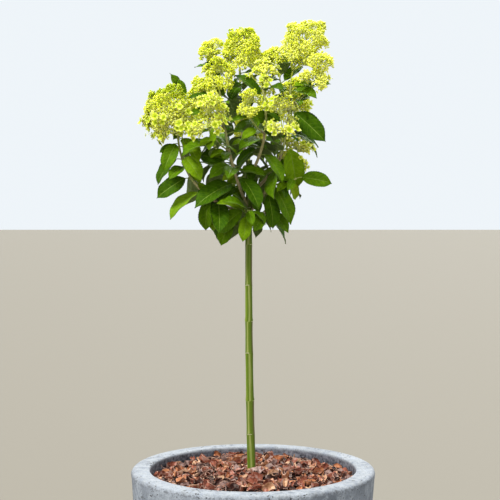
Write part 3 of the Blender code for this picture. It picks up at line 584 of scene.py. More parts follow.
def make_trunk():
    heights = trunk_heights()
    angles = np.linspace(0.5 * math.pi, 2.5 * math.pi, TRUNK_COLUMNS + 1)
    centres = np.array([trunk_point(z) for z in heights])
    radii = np.array([trunk_radius(z) for z in heights])[:, None] * np.ones(len(angles))
    marks = np.zeros((len(heights) - 1, TRUNK_COLUMNS), int)
    for k in range(len(TRUNK_SCARS)):
        raise_scar(k, heights, angles, radii, marks)
    radii += 0.00016 * np.sin(5 * angles + 1.3) * np.sin(heights[:, None] * 9)
    radii += 0.00010 * np.sin(11 * angles) + 0.00012 * np.sin(heights[:, None] * 61 + 2 * angles)
    points = np.stack([radii * np.cos(angles), radii * np.sin(angles), 0 * radii], -1) + centres[:, None]
    points[-1, :, 2] += 0.0016 * np.cos(angles)
    shift = np.array(STREAK_SHIFTS)[np.searchsorted(TRUNK_SCARS, heights)]
    turn = np.clip((angles - 0.5 * math.pi) / math.tau + shift[:, None], 0.001, 0.999)
    spots = np.stack([turn, heights[:, None] + 0 * angles], -1)
    heap = Heap()
    faces = grid_faces(len(heights), TRUNK_COLUMNS + 1)
    heap.add(points, faces, mark=marks.ravel(), spots=spots.reshape(-1, 2))
    for row, order in ((0, -1), (-1, 1)):
        add_cut(heap, points[row], centres[row], order)
    return heap.piece("trunk_bark", "green_stem", [green_bark(), scar_cork()], sharp=60)


def add_cut(heap, ring, centre, order):
    """The cut that ends the trunk: a slightly dished disc with a core."""
    inner = centre + (ring - centre) * (0.80, 0.80, 0.90) - (0, 0, 0.0004)
    core = centre + (ring - centre) * (0.22, 0.22, 0.50) - (0, 0, 0.0007)
    disc = np.concatenate([ring, inner, core, [centre - (0, 0, 0.0009)]])
    count = len(ring)
    fan = np.array([(2 * count + k, 2 * count + k + 1, 3 * count) for k in range(count - 1)])
    heap.add(disc, grid_faces(3, count)[:, ::order], fan[:, ::order], mark=1)


def green_bark():
    made = Finish("green_bark", gloss=0.15)
    turn, _ = made.form()
    threads = made.noise(1.0, 6.0, where=made.stretched(420.0, 420.0, 9.0))
    strays = made.noise(1.0, 3.0, where=made.stretched(60.0, 60.0, 7.0))
    turn = made.math("ADD", turn, made.between(strays, 0.25, 0.75, -0.07, 0.07))
    colour = made.ramp(turn, *zip(*BARK_STREAKS))
    colour = made.patches(colour, PALE_THREAD, threads, 0.55, 0.80, 0.35)
    colour = made.patches(colour, DARK_THREAD, threads, 0.42, 0.25, 0.40)
    specks = made.between(made.cells(900.0, made.stretched(0.798, 0.739, 0.333)), 0.14, 0.08, 0.0, 0.55)
    colour = made.mix(specks, colour, BARK_SPECK)
    height = made.math("ADD", made.math("MULTIPLY", threads, 0.6), specks)
    return made.wear(colour, made.between(threads, 0.3, 0.7, 0.42, 0.62), height, 0.00035)


def scar_cork():
    made = Finish("scar_cork", 0.8, 0.2)
    return made.grained(made.noise(900.0, 4.0), (0.35, 0.65), SCAR_TANS, 0.0003)


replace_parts(make_trunk(), "trunk")


# Boughs, shoots and side twigs: this year's upright growth, thin and stiff, from the pruned top of the trunk.
# The young wood is tan brown at its foot and green above, and swells at each pair of leaves.
BOUGH_RADIUS = 0.0035
SHOOT_TIP_RADIUS = 0.0020
SIDE_TWIG_RADIUS = 0.0016
SIDE_TWIG_TAPER = 0.85
SIDE_TWIG_SAG = 0.12
FIRST_LEAF_SHARE = 0.27
LAST_LEAF_SHARE = 0.96
SKIRT_TWIGS = 6
SKIRT_LEAVES = 3
SKIRT_FIRST_TURN = math.radians(-150)
SKIRT_LEAF_TURN = math.radians(48)
SKIRT_Z = 0.928
SKIRT_STAGGER = 0.004
SKIRT_REACH = 0.036
SKIRT_CLIMB = 0.022
SKIRT_RADIUS = 0.0022
SKIRT_TAPER = 0.8
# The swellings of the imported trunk, which the foot of a skirt twig clears by a small gap.
TRUNK_SWELL = 0.0007
TRUNK_SWELL_PITCH = 0.088
SKIRT_GAP = 0.0003
BOUGH_ROWS = 60
TWIG_ROWS = 26
STEM_SIDES = 12
# How much wider a stem is at a pair of leaves and at its own foot, and over what length on each side.
LEAF_PAIR_SWELL = (0.30, 0.0030)
COLLAR_SWELL = (0.55, 0.0085)
TUBE_END = 0.3
# How far up a bough, and a finer twig, the bark is tan brown.
BOUGH_BROWN = 0.576
TWIG_BROWN = 0.256
TAN_WOODS = ((0.280, 0.200, 0.110), (0.520, 0.400, 0.240), (0.680, 0.560, 0.370))
GREEN_WOODS = ((0.230, 0.280, 0.050), (0.400, 0.450, 0.120), (0.560, 0.590, 0.220))
WOOD_SPECK = (0.495, 0.423, 0.279)
# Name, height on the trunk, tip, share of the run outward and of the climb at the bend, pairs of leaves, and
# the turn of the first pair in degrees.
SHOOTS = (
    ("left", 0.942, (-0.158, -0.020, 1.110), (0.95, 0.20), 5, -70),
    ("right", 0.946, (0.080, 0.003, 1.216), (0.95, 0.30), 5, -35),
    ("front_left", 0.954, (-0.070, -0.055, 1.206), (0.72, 0.34), 5, -20),
    ("back_left", 0.968, (-0.100, 0.112, 1.172), (0.80, 0.30), 5, 30),
    ("back_right", 0.984, (0.086, 0.112, 1.166), (0.80, 0.30), 5, 75),
    ("back", 1.000, (-0.008, 0.150, 1.118), (0.84, 0.28), 4, 10),
    ("centre_right", 1.020, (0.021, -0.034, 1.203), (1.70, 0.45), 5, -60),
    ("centre", 1.040, (-0.028, 0.040, 1.256), (0.95, 0.24), 5, 20),
)
# Name, the shoot that bears it, how far up that shoot, tip.
SIDE_TWIGS = (
    ("front", "front_left", 0.56, (-0.091, -0.096, 1.118)),
    ("small_left", "front_left", 0.74, (-0.098, -0.034, 1.170)),
    ("left_back", "left", 0.70, (-0.158, 0.046, 1.184)),
    ("top_far_left", "centre", 0.86, (-0.076, 0.048, 1.262)),
    ("right_side", "right", 0.88, (0.126, -0.022, 1.216)),
    ("small_top", "right", 0.84, (0.054, 0.026, 1.254)),
    ("low_right", "right", 0.52, (0.060, -0.056, 1.112)),
    ("right_low", "right", 0.44, (0.086, 0.018, 1.056)),
    ("right_leafy", "right", 0.30, (0.092, -0.014, 1.018)),
    ("low_centre", "centre_right", 0.52, (-0.008, -0.070, 1.146)),
)


class Limb:
    """A shoot, side twig or flower stalk: a curve drawn towards a corner, and its radius along it."""

    def __init__(self, start, corner, end, radii):
        self.start, self.corner, self.end, self.radii = start, corner, end, radii

    def point(self, share):
        rest = 1 - share
        return self.start * rest * rest + self.corner * 2 * share * rest + self.end * share * share

    def heading(self, share):
        return (self.corner - self.start).lerp(self.end - self.corner, share).normalized()

    def radius(self, share):
        return blend(*self.radii, share)


def compass(turn, rise):
    """The direction with this turn and rise above level. A turn of 0 is right, of -90 degrees the front."""
    return Vector((math.cos(turn) * math.cos(rise), math.sin(turn) * math.cos(rise), math.sin(rise)))


def skirt_turn(index):
    return SKIRT_FIRST_TURN + math.tau * index / SKIRT_TWIGS


def skirt_limb(index):
    """A short twig round the top of the clear stem."""
    outward = compass(skirt_turn(index), 0)
    height = SKIRT_Z + SKIRT_STAGGER * (index % 3 - 1)
    up = height - TRUNK_FOOT.z
    swell = TRUNK_SWELL * (abs((up / TRUNK_SWELL_PITCH) % 1 - 0.5) * 2) ** 6
    start = trunk_point(height) + outward * (trunk_radius(height) + swell + SKIRT_GAP)
    end = start + outward * SKIRT_REACH + Vector((0, 0, SKIRT_CLIMB))
    return Limb(start, start + outward * SKIRT_REACH / 2, end, (SKIRT_RADIUS, SKIRT_RADIUS * SKIRT_TAPER))


def grow_limbs():
    """Every shoot, side twig and skirt twig, by name."""
    grown = {}
    for name, height, tip, (outward, climb), _, _ in SHOOTS:
        start, end = trunk_point(height), Vector(tip)
        run = end - start
        corner = start + Vector((run.x * outward, run.y * outward, run.z * climb))
        grown[name] = Limb(start, corner, end, (BOUGH_RADIUS, SHOOT_TIP_RADIUS))
    for name, bearer, share, tip in SIDE_TWIGS:
        start, end = grown[bearer].point(share), Vector(tip)
        run = end - start
        corner = start + run / 2 + Vector((run.x, run.y, -run.length)) * SIDE_TWIG_SAG
        grown[name] = Limb(start, corner, end, (SIDE_TWIG_RADIUS, SIDE_TWIG_RADIUS * SIDE_TWIG_TAPER))
    for index in range(SKIRT_TWIGS):
        grown[f"skirt_{index + 1}"] = skirt_limb(index)
    return grown


def unit(vectors):
    """Vectors of length one, from one vector or a row of them."""
    return vectors / np.linalg.norm(vectors, axis=-1, keepdims=True)


def tube(path, radii, sides):
    """A round tube through the points: its points, its wall and the faces that close its two ends."""
    path, radii = np.asarray(path, float), np.asarray(radii, float)
    along = unit(np.gradient(path, axis=0))
    least = np.eye(3)[np.argmin(np.abs(path[-1] - path[0]))]
    side = unit(np.cross(along, least))
    up = np.cross(along, side)
    angles = np.arange(sides) * math.tau / sides
    rings = np.cos(angles)[:, None] * side[:, None] + np.sin(angles)[:, None] * up[:, None]
    wall = (path[:, None] + rings * radii[:, None, None]).reshape(-1, 3)
    near = path[:1] - along[:1] * radii[0] * TUBE_END
    far = path[-1:] + along[-1:] * radii[-1] * TUBE_END
    last, count = (len(path) - 1) * sides, len(path) * sides
    start = [((k + 1) % sides, k, count) for k in range(sides)]
    end = [(last + k, last + (k + 1) % sides, count + 1) for k in range(sides)]
    faces = grid_faces(len(path), sides, round_columns=True)
    return np.concatenate([wall, near, far]), faces, np.array(start), np.array(end)


def node_shares(name):
    """How far up a limb its pairs of leaves stand."""
    pairs = next((pairs for shoot, _, _, _, pairs, _ in SHOOTS if shoot == name), 3)
    return [blend(FIRST_LEAF_SHARE, LAST_LEAF_SHARE, pair / (pairs - 1)) for pair in range(pairs)]


def make_stems():
    heap = Heap()
    for name, limb in limbs.items():
        is_bough = name in bough_names
        shares = np.linspace(0, 1, BOUGH_ROWS if is_bough else TWIG_ROWS)
        run = (limb.end - limb.start).length
        radii = np.array([limb.radius(share) for share in shares])
        for pair_share in node_shares(name):
            radii *= 1 + LEAF_PAIR_SWELL[0] * bell((shares - pair_share) * run, LEAF_PAIR_SWELL[1])
        radii *= 1 + COLLAR_SWELL[0] * bell(shares * run, COLLAR_SWELL[1])
        green = np.repeat(shares[1:] > (BOUGH_BROWN if is_bough else TWIG_BROWN), STEM_SIDES)
        skin = tube([limb.point(share) for share in shares], radii, STEM_SIDES)
        heap.add(*skin, mark=np.concatenate([green, np.ones(2 * STEM_SIDES, int)]))
    finishes = [young_wood("tan_wood", 0.0, 0.40), young_wood("green_wood", 0.55, 1.0)]
    return heap.piece("stems", "young_wood", finishes, sharp=60)


def young_wood(name, least, most):
    """Tan brown streaks and green ones, the share of green running from least to most."""
    made = Finish(name, 0.6, 0.2)
    streaks = made.noise(1.0, 5.0, where=made.stretched(500.0, 500.0, 60.0))
    tan = made.ramp(streaks, (0.30, 0.55, 0.75), TAN_WOODS)
    green = made.ramp(streaks, (0.30, 0.55, 0.75), GREEN_WOODS)
    share = made.between(made.noise(24.0, 3.0), 0.38, 0.62, least, most)
    specks = made.between(made.cells(1100.0), 0.16, 0.09, 0.0, 0.7)
    colour = made.mix(specks, made.mix(share, tan, green), WOOD_SPECK)
    rough = made.between(streaks, 0.3, 0.7, 0.7, 0.5)
    return made.wear(colour, rough, made.math("ADD", streaks, specks), 0.0003)


limbs = grow_limbs()
bough_names = [name for name, *_ in SHOOTS]
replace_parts(make_stems(), *["bough_" + name for name in bough_names])


# Leaves: in opposite pairs, each a quarter turn from the last, every blade on a short petiole. A blade is
# pointed, folded along a pale midrib and bent down, with sunk side veins, small teeth and a matt underside.
LEAF_WIDTH_SHARE = 0.50
LEAF_THICKNESS_SHARE = 0.012
LEAF_FOLD = math.radians(17)
LEAF_BEND = math.radians(36)
LEAF_BROAD_SHIFT = 0.86
LEAF_FULLNESS = 0.90
LEAF_TIP_TAPER = 0.28
# Where the light comes from that the blades turn their upper sides to, but for those behind the head.
LEAF_LIGHT = Vector((0.23, -0.70, 0.0))
LEAF_LONG = 0.092
LEAF_SHORT = 0.060
PETIOLE_LENGTH = 0.014
PETIOLE_RADIUS = 0.0011
PETIOLE_LIFT = math.radians(14)
PETIOLE_LEAST_RISE = math.radians(-20)
LEAF_TRIES = 12
LOW_LEAF_Z = 0.96
HIGH_LEAF_Z = 1.22
LOW_LEAF_RISE = math.radians(-50)
HIGH_LEAF_RISE = math.radians(14)
TURN_STRAY = 0.45
RISE_STRAY = 0.28
ROLL_STRAY = 0.35
LENGTH_SPREAD = (0.86, 1.08)
OUTLINE_STRAY = 0.03
SKIRT_LEAF_RISE = math.radians(-50)
SKIRT_LEAF_SHARES = (0.96, 0.66)
SKIRT_LENGTH_SPREAD = (0.64, 0.92)
LEAF_ROWS = (20, 34)
LEAF_COLUMNS = np.array([1.0, 0.82, 0.56, 0.28, 0.028, -0.028, -0.28, -0.56, -0.82, -1.0])
SIDE_VEINS = 7
VEIN_SPREAD = 1.25
VEIN_LEAN = 0.20
VEIN_CURVE = 1.25
VEIN_START = 0.2
# Relief of a blade in shares of its length: teeth, veins, wavy edge, drooping tip, midrib above and below.
TOOTH_STEP = 0.012
VEIN_RELIEF = 0.012
EDGE_WAVE = 0.020
TIP_DROOP = (0.0, 0.06)
MIDRIB_GROOVE = 0.004
MIDRIB_RIDGE = 0.010
# How far a tooth stands out, in shares of the blade's half width.
TOOTH_REACH = 0.045
# Where a blade is fuller than an oval, as (how much, how far along, over what reach), and its narrower point.
FULLER = ((0.26, 0.80, 0.16), (0.10, 0.16, 0.12))
POINT_NARROWER = 0.35
PETIOLE_THICKNESS = np.array([1.5, 1.2, 1, 1, 1, 1, 0.95, 0.8, 0.5])
PETIOLE_SIDES = 8
GOLDEN_TURN = 2.399
SPARE_TRIES = 8
SPARE_LENGTHS = (0.052, 0.036)
SPARE_LENGTH_SPREAD = (0.7, 1.1)
SPARE_TURN_STRAY = 0.9
SPARE_RISE_STRAY = 0.4
SPARE_ROLL_STRAY = 0.5
SPARE_TRUNK_HEIGHTS = (0.932, 1.048)
SPARE_TRUNK_LEAVES = 12
SPARE_LEAST_Z = 0.905
# How far a spare leaf's tip may be from the solids, and how close a packed leaf's corners lie to its own.
SPARE_REACH = 0.025
SAME_PLACE = 0.00015
# Stems that show in front of the leaves, and the stretch of each that no spare leaf may stand before.
SEEN_STEMS = {"front_left": (0.06, 0.72), "right": (0.30, 0.80), "left": (0.55, 0.85)}
# Panicles that show from the front, and how much of each a spare leaf may stand before.
SEEN_PANICLES = {"right_low": 0.03}
SEEN_PANICLES |= dict.fromkeys(("low_right", "centre_right", "right_side", "front", "left"), 0.06)
FORWARD = Vector((0, -1, 0))
SIGHT_REACH = 0.3
# Shade and light of a blade and the colour of its veins, from the deepest leaves to the palest. Young leaves
# are paler, and beyond that the deeper tints are painted shade and the paler ones painted light.
LEAF_TINTS = {
    "leaves_deep": ((0.0258, 0.074, 0.0005), (0.0533, 0.1221, 0.0009), (0.1015, 0.1909, 0.006)),
    "leaves_green": ((0.0585, 0.1333, 0.0005), (0.1015, 0.2047, 0.0013), (0.1617, 0.2752, 0.012)),
    "leaves_bright": ((0.1049, 0.203, 0.0007), (0.1686, 0.2941, 0.0026), (0.2451, 0.3698, 0.0241)),
    "leaves_young_and_lit": ((0.1634, 0.2752, 0.0017), (0.2494, 0.3784, 0.0077), (0.344, 0.4558, 0.0473)),
}
UNDER_GREENS = ((0.11, 0.176, 0.0396), (0.2024, 0.2816, 0.0836))
UNDER_NET = (0.3168, 0.3872, 0.1496)
MIDRIB_GREENS = ((0.1188, 0.198, 0.0106), (0.2068, 0.2948, 0.0396))
PETIOLE_GREENS = ((0.17, 0.24, 0.03), (0.34, 0.42, 0.10))
# Shoot or side twig, how far up it, compass turn, rise above level and roll in degrees, length.
OUTLINE_LEAVES = (
    ("left", 0.80, -60, -26, 20, 0.076),
    ("front_left", 0.26, -144, -16, 0, 0.100),
    ("front_left", 0.32, -48, -36, 0, 0.084),
    ("right", 0.83, -36, -36, 40, 0.092),
    ("right", 0.59, -24, -76, 20, 0.092),
    ("right_leafy", 0.99, -12, -6, 40, 0.068),
    ("left", 0.92, -120, -46, 0, 0.068),
    ("left", 0.59, -156, -26, -20, 0.076),
    ("left", 0.41, -156, -26, 20, 0.084),
    ("skirt_2", 0.99, -180, -36, -20, 0.076),
    ("front_left", 0.59, -144, 4, 20, 0.100),
    ("right_low", 0.36, -120, -36, 60, 0.092),
    ("right", 0.20, -48, -66, 0, 0.076),
    ("skirt_4", 0.99, -24, -36, 20, 0.060),
    ("skirt_2", 0.96, 120, -46, 40, 0.044),
    ("front_left", 0.20, -24, -46, 0, 0.060),
    ("front_left", 0.23, -144, -26, 0, 0.052),
    ("left", 0.29, -168, -76, 20, 0.068),
    ("left", 0.20, -168, -66, 20, 0.060),
    ("front_left", 0.68, 24, 14, 0, 0.108),
    ("front_left", 0.41, -96, -6, 0, 0.060),
    ("centre", 0.86, -108, -16, 0, 0.060),
    ("front_left", 0.89, -168, 24, 0, 0.060),
    ("small_top", 0.75, -120, 4, 0, 0.052),
    ("right", 0.98, 12, 14, 20, 0.052),
    ("small_top", 0.81, -72, 44, 0, 0.052),
    ("small_top", 0.96, 12, 64, 0, 0.052),
    ("right", 0.92, -132, -16, 0, 0.044),
    ("front_left", 0.47, 168, 14, -40, 0.068),
    ("front_left", 0.44, -132, -16, 0, 0.060),
    ("front", 0.15, 0, 24, -20, 0.068),
    ("centre", 0.32, 0, 4, -40, 0.060),
    ("centre", 0.20, -24, 4, -40, 0.068),
    ("front_left", 0.38, -24, 4, 0, 0.060),
    ("right_leafy", 0.84, -156, 4, 0, 0.044),
    ("left_back", 0.99, -96, 64, -20, 0.060),
    ("left_back", 0.96, -72, 64, 20, 0.052),
    ("left", 0.71, -120, -16, 0, 0.052),
    ("front_left", 0.95, 120, 64, 20, 0.044),
    ("front_left", 0.92, 84, 64, 0, 0.044),
    ("top_far_left", 0.78, -180, 24, 0, 0.052),
    ("front_left", 0.98, 24, 24, 0, 0.052),
    ("low_centre", 0.96, 36, -6, 60, 0.044),
)
# Small leaves that the solids leave out: stem, how far up it, compass turn and rise in degrees, length.
SPARE_LEAVES = (
    ("skirt_2", 0.88, -120, 30, 0.072),
    ("centre_right", 0.28, 150, -30, 0.072),
    ("back_left", 0.52, 150, -30, 0.072),
    ("centre", 0.82, -45, 50, 0.058),
    ("front", 0.22, -30, -50, 0.072),
    ("skirt_6", 0.16, -90, 50, 0.072),
    ("small_top", 0.70, 15, 50, 0.058),
    ("front_left", 0.94, 60, -10, 0.072),
    ("front_left", 0.28, 90, -70, 0.072),
    ("back_right", 0.82, 120, -30, 0.072),
    ("centre", 0.82, 120, -50, 0.072),
    ("right", 0.70, 15, -10, 0.072),
    ("back", 0.22, -165, 50, 0.058),
    ("low_right", 0.28, -105, 30, 0.072),
    ("back_left", 0.28, -180, 50, 0.072),
    ("centre_right", 0.88, -150, 50, 0.072),
    ("skirt_2", 0.76, -135, 30, 0.072),
    ("right_leafy", 0.16, 30, -10, 0.072),
    ("skirt_5", 0.88, 0, -30, 0.058),
    ("front_left", 0.40, -45, 50, 0.058),
    ("low_right", 0.82, -15, -30, 0.072),
    ("back_left", 0.52, 150, -30, 0.058),
    ("back", 0.82, 150, -30, 0.058),
    ("left", 0.34, -150, 50, 0.072),
    ("right_low", 0.16, 165, -30, 0.058),
)


class Leaf:
    """A leaf: the foot of its petiole on a stem, and its blade's base, axes and length."""

    def __init__(self, foot, stem_radius, turn, rise, roll, length):
        self.foot, self.length = foot, length
        start_rise = max(rise, PETIOLE_LEAST_RISE) / 2 + PETIOLE_LIFT
        reach = stem_radius + PETIOLE_LENGTH * length / LEAF_LONG
        self.base = foot + compass(turn, start_rise) * reach
        self.ahead = compass(turn, rise)
        behind = max(0.0, self.base.y / self.base.xy.length)
        level = (Vector((0, 0, 1)) + LEAF_LIGHT * (1 - behind)).cross(self.ahead).normalized()
        self.across = Quaternion(self.ahead, roll) @ level
        self.upper = self.ahead.cross(self.across)

    def sheet(self, share, side, lift):
        """Points of the blade: how far along it, -1 to 1 across it, and how far off its middle sheet."""
        angle = LEAF_BEND * share
        swell = np.maximum(np.sin(math.pi * share**LEAF_BROAD_SHIFT), 0.0) ** LEAF_FULLNESS
        half = self.length * LEAF_WIDTH_SHARE / 2 * swell * (1 - LEAF_TIP_TAPER * share**5) * side
        ahead, across, upper = np.array(self.ahead), np.array(self.across), np.array(self.upper)
        sine, cosine = np.sin(angle)[..., None], np.cos(angle)[..., None]
        middle = np.array(self.base) + (ahead * sine - upper * (1 - cosine)) * (self.length / LEAF_BEND)
        lift = (lift + np.abs(half) * math.sin(LEAF_FOLD))[..., None]
        middle = middle + across * half[..., None] * math.cos(LEAF_FOLD)
        return middle + (upper * cosine + ahead * sine) * lift


def mass_of(limb_name):
    return next((bearer for name, bearer, *_ in SIDE_TWIGS if name == limb_name), limb_name)


def head_share(height):
    """How far up the head a height lies, from its lowest leaves to its highest."""
    return min(max((height - LOW_LEAF_Z) / (HIGH_LEAF_Z - LOW_LEAF_Z), 0.0), 1.0)


def rule_leaves(name, limb, first_turn):
    """A stem's leaves, pair by pair, each as the list of places that it may take."""
    dice = random.Random("leaves " + name)
    for pair, share in enumerate(node_shares(name)):
        height = head_share(limb.point(share).z)
        for side in range(2):
            aim, places = first_turn + math.pi / 2 * pair + math.pi * side, []
            for _ in range(LEAF_TRIES):
                turn = aim + dice.uniform(-TURN_STRAY, TURN_STRAY)
                rise = blend(LOW_LEAF_RISE, HIGH_LEAF_RISE, height) + dice.uniform(-RISE_STRAY, RISE_STRAY)
                roll = dice.uniform(-ROLL_STRAY, ROLL_STRAY)
                length = blend(LEAF_LONG, LEAF_SHORT, height) * dice.uniform(*LENGTH_SPREAD)
                places.append(Leaf(limb.point(share), limb.radius(share), turn, rise, roll, length))
            yield places


def outline_leaves(mass):
    """The chosen leaves of one mass, each as a list of places that stray from the first."""
    for name, share, *angles, length in OUTLINE_LEAVES:
        if mass_of(name) == mass:
            dice = random.Random(f"outline {name} {share}")
            limb, places = limbs[name], []
            for k in range(LEAF_TRIES):
                stray = OUTLINE_STRAY * k
                strayed = [math.radians(angle) + dice.uniform(-stray, stray) for angle in angles]
                places.append(Leaf(limb.point(share), limb.radius(share), *strayed, length))
            yield places


def skirt_leaves(index, limb):
    """The leaves at the tip of a skirt's twig, fanned out and hanging."""
    dice = random.Random(f"skirt {index}")
    for k in range(SKIRT_LEAVES):
        share, places = SKIRT_LEAF_SHARES[k % 2], []
        aim = skirt_turn(index) + SKIRT_LEAF_TURN * (k - (SKIRT_LEAVES - 1) / 2)
        for _ in range(LEAF_TRIES):
            turn = aim + dice.uniform(-TURN_STRAY, TURN_STRAY)
            rise = SKIRT_LEAF_RISE + dice.uniform(-RISE_STRAY, RISE_STRAY)
            length = LEAF_LONG * dice.uniform(*SKIRT_LENGTH_SPREAD)
            roll = dice.uniform(-ROLL_STRAY, ROLL_STRAY)
            places.append(Leaf(limb.point(share), limb.radius(share), turn, rise, roll, length))
        yield places


def solid_skin(node):
    """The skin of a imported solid, for finding what grew there."""
    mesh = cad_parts[node].data
    return BVHTree.FromPolygons([v.co for v in mesh.vertices], [p.vertices[:] for p in mesh.polygons])


def is_grown(leaf, skin):
    """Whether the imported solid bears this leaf: the corners of its blade lie on the solid's skin."""
    share, side = np.array([1, 1, 2, 2, 3]) / 3, np.array([-1, 1, -1, 1, 0])
    corners = leaf.sheet(share, side, np.zeros(5))
    return all(skin.find_nearest(Vector(corner))[3] < SAME_PLACE for corner in corners)


def grown_leaves(mass_skins):
    """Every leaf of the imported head."""
    first_turns = {name: math.radians(turn) for name, _, _, _, _, turn in SHOOTS}
    for mass, skin in mass_skins.items():
        choices = list(outline_leaves(mass))
        if mass in first_turns:
            choices += rule_leaves(mass, limbs[mass], first_turns[mass])
        else:
            choices += skirt_leaves(int(mass[-1]) - 1, limbs[mass])
        for places in choices:
            leaf = next((place for place in places if is_grown(place, skin)), None)
            if leaf:
                yield leaf


def add_blade(heap, leaf, dice):
    """A blade with an upper and an under sheet, toothed edge, sunk veins and a pale midrib."""
    rows = round(blend(*LEAF_ROWS, min(max(leaf.length / LEAF_LONG - 0.4, 0) / 0.6, 1)))
    columns = len(LEAF_COLUMNS)
    share = np.linspace(0, 1, rows)[:, None] * np.ones(columns)
    side = LEAF_COLUMNS * np.ones((rows, 1))
    tooth = (np.arange(rows) % 2)[:, None] * (np.abs(side) == 1)
    share = np.clip(share + TOOTH_STEP * tooth * (share > 0.08), 0, 1)
    share[-1] = 1.0
    rounding = 1 + sum(most * bell(share - place, reach) for most, place, reach in FULLER)
    point = 1 - POINT_NARROWER * np.clip((share - 0.90) / 0.10, 0, 1)
    outline = side * (1 + TOOTH_REACH * tooth) * rounding * point
    vein = (share - VEIN_LEAN * np.abs(side) ** VEIN_CURVE) * SIDE_VEINS * VEIN_SPREAD + VEIN_START
    ripple = 1 - np.abs(2 * (vein % 1) - 1)
    wave, start = dice.uniform(0.25, 1.0), dice.uniform(0, math.tau)
    lift = leaf.length * VEIN_RELIEF * ripple * (1 - side**2) ** 0.5
    lift = lift + leaf.length * EDGE_WAVE * wave * np.sin(share * 15 + start + 1.5 * side) * side**2
    lift = lift - leaf.length * dice.uniform(*TIP_DROOP) * np.clip((share - 0.7) / 0.3, 0, 1) ** 2
    thick, on_midrib = leaf.length * LEAF_THICKNESS_SHARE / 2 * 0.8, np.abs(side) < 0.1
    upper = leaf.sheet(share, outline, lift + thick - MIDRIB_GROOVE * leaf.length * on_midrib)
    under = leaf.sheet(share, outline, lift - thick - MIDRIB_RIDGE * leaf.length * on_midrib * (1 - share))
    faces, count, edges = grid_faces(rows, columns), rows * columns, []
    for left in range(0, count - columns, columns):
        right = left + columns - 1
        edges.append((left + columns, left, left + count, left + columns + count))
        edges.append((right, right + columns, right + columns + count, right + count))
    midrib = np.tile(np.arange(columns - 1) == columns // 2 - 1, rows - 1)
    marks = np.concatenate([np.where(midrib, 2, 0), np.where(midrib, 2, 1), np.ones(len(edges), int)])
    spots = np.stack([side / 2 + 0.5, share], -1).reshape(-1, 2)
    points = np.concatenate([upper.reshape(-1, 3), under.reshape(-1, 3)])
    faces = np.concatenate([faces, faces[:, ::-1] + count, edges])
    heap.add(points, faces, mark=marks, spots=np.tile(spots, (2, 1)))


def bow(start, corner, end, steps):
    """Points of a curve drawn towards a corner."""
    shares = np.linspace(0, 1, steps)[:, None]
    return start * (1 - shares) ** 2 + corner * 2 * shares * (1 - shares) + end * shares**2


def add_petiole(heap, leaf):
    """The stalk of the blade: thick at the foot, running on into the midrib."""
    foot, base = np.array(leaf.foot), np.array(leaf.base)
    corner = foot + (base - foot) * 0.6 + np.array([0, 0, 0.12]) * np.linalg.norm(base - foot)
    inner = leaf.sheet(np.array([0.05, 0.14]), np.zeros(2), np.full(2, -leaf.length * 0.008))
    size = PETIOLE_RADIUS * (0.55 + 0.45 * leaf.length / LEAF_LONG)
    path = np.concatenate([bow(foot, corner, base, 7), inner])
    heap.add(*tube(path, size * PETIOLE_THICKNESS, PETIOLE_SIDES))


def blade_green(name, shade, light, vein):
    """The upper side of a blade: mottled from shade to light, with a fine light net and pale side veins."""
    made = Finish(name, gloss=0.05)
    across, along = made.form()
    off = made.math("ABSOLUTE", made.math("SUBTRACT", made.math("MULTIPLY", across, 2.0), 1.0))
    lean = made.math("MULTIPLY", made.math("POWER", off, VEIN_CURVE), VEIN_LEAN)
    phase = made.math("MULTIPLY", made.math("SUBTRACT", along, lean), SIDE_VEINS * VEIN_SPREAD)
    phase = made.math("FRACT", made.math("ADD", phase, VEIN_START))
    near = made.math("ABSOLUTE", made.math("SUBTRACT", phase, 0.5))
    on_vein = made.between(near, 0.425, 0.49)
    mottle = made.noise(130.0, 4.0)
    colour = made.mix(made.between(mottle, 0.35, 0.68), shade, light)
    net = made.between(made.cells(950.0, feature="DISTANCE_TO_EDGE"), 0.10, 0.02, 0.0, 0.30)
    colour = made.mix(net, colour, light)
    colour = made.mix(made.math("MULTIPLY", on_vein, 0.62), colour, vein)
    height = made.math("SUBTRACT", made.math("MULTIPLY", mottle, 0.5), made.math("ADD", on_vein, net))
    return made.wear(colour, made.between(mottle, 0.3, 0.7, 0.36, 0.52), height, 0.0004)


def blade_under():
    made = Finish("leaf_underside", 0.7, 0.1)
    colour = made.ramp(made.noise(160.0, 4.0), (0.35, 0.68), UNDER_GREENS)
    net = made.between(made.cells(900.0, feature="DISTANCE_TO_EDGE"), 0.12, 0.02)
    colour = made.mix(made.math("MULTIPLY", net, 0.35), colour, UNDER_NET)
    return made.wear(colour, None, net, 0.0004)


def midrib_green():
    made = Finish("leaf_midrib", 0.5, 0.15)
    return made.grained(made.noise(300.0, 3.0), (0.35, 0.65), MIDRIB_GREENS, 0.0002)


def petiole_green():
    made = Finish("petiole_skin", 0.5, 0.2)
    streak = made.noise(1.0, 4.0, where=made.stretched(400.0, 400.0, 120.0))
    return made.grained(streak, (0.35, 0.65), PETIOLE_GREENS, 0.0002)


def deal_tint(leaf, dice):
    """Which tint a leaf has: small ones tend to be light, as young leaves are; the higher a leaf, the deeper
    its tint, as painted shade under the panicles; and a random spread adds painted light and shade.
    """
    youth_and_light = 0.30 + (0.070 - leaf.length) * 5 - (leaf.base.z - 1.05) * 1.6 + dice.gauss(0, 0.38)
    return list(LEAF_TINTS)[min(max(int(0.9 + youth_and_light * 1.7), 0), 3)]


def blade_skin(leaf):
    """A blade in a few faces, for finding what it would touch."""
    share, side = np.meshgrid(np.linspace(0.05, 1, 6), (-1.0, 0.0, 1.0), indexing="ij")
    points = leaf.sheet(share, side, 0 * share).reshape(-1, 3)
    return BVHTree.FromPolygons([Vector(point) for point in points], grid_faces(6, 3).tolist())


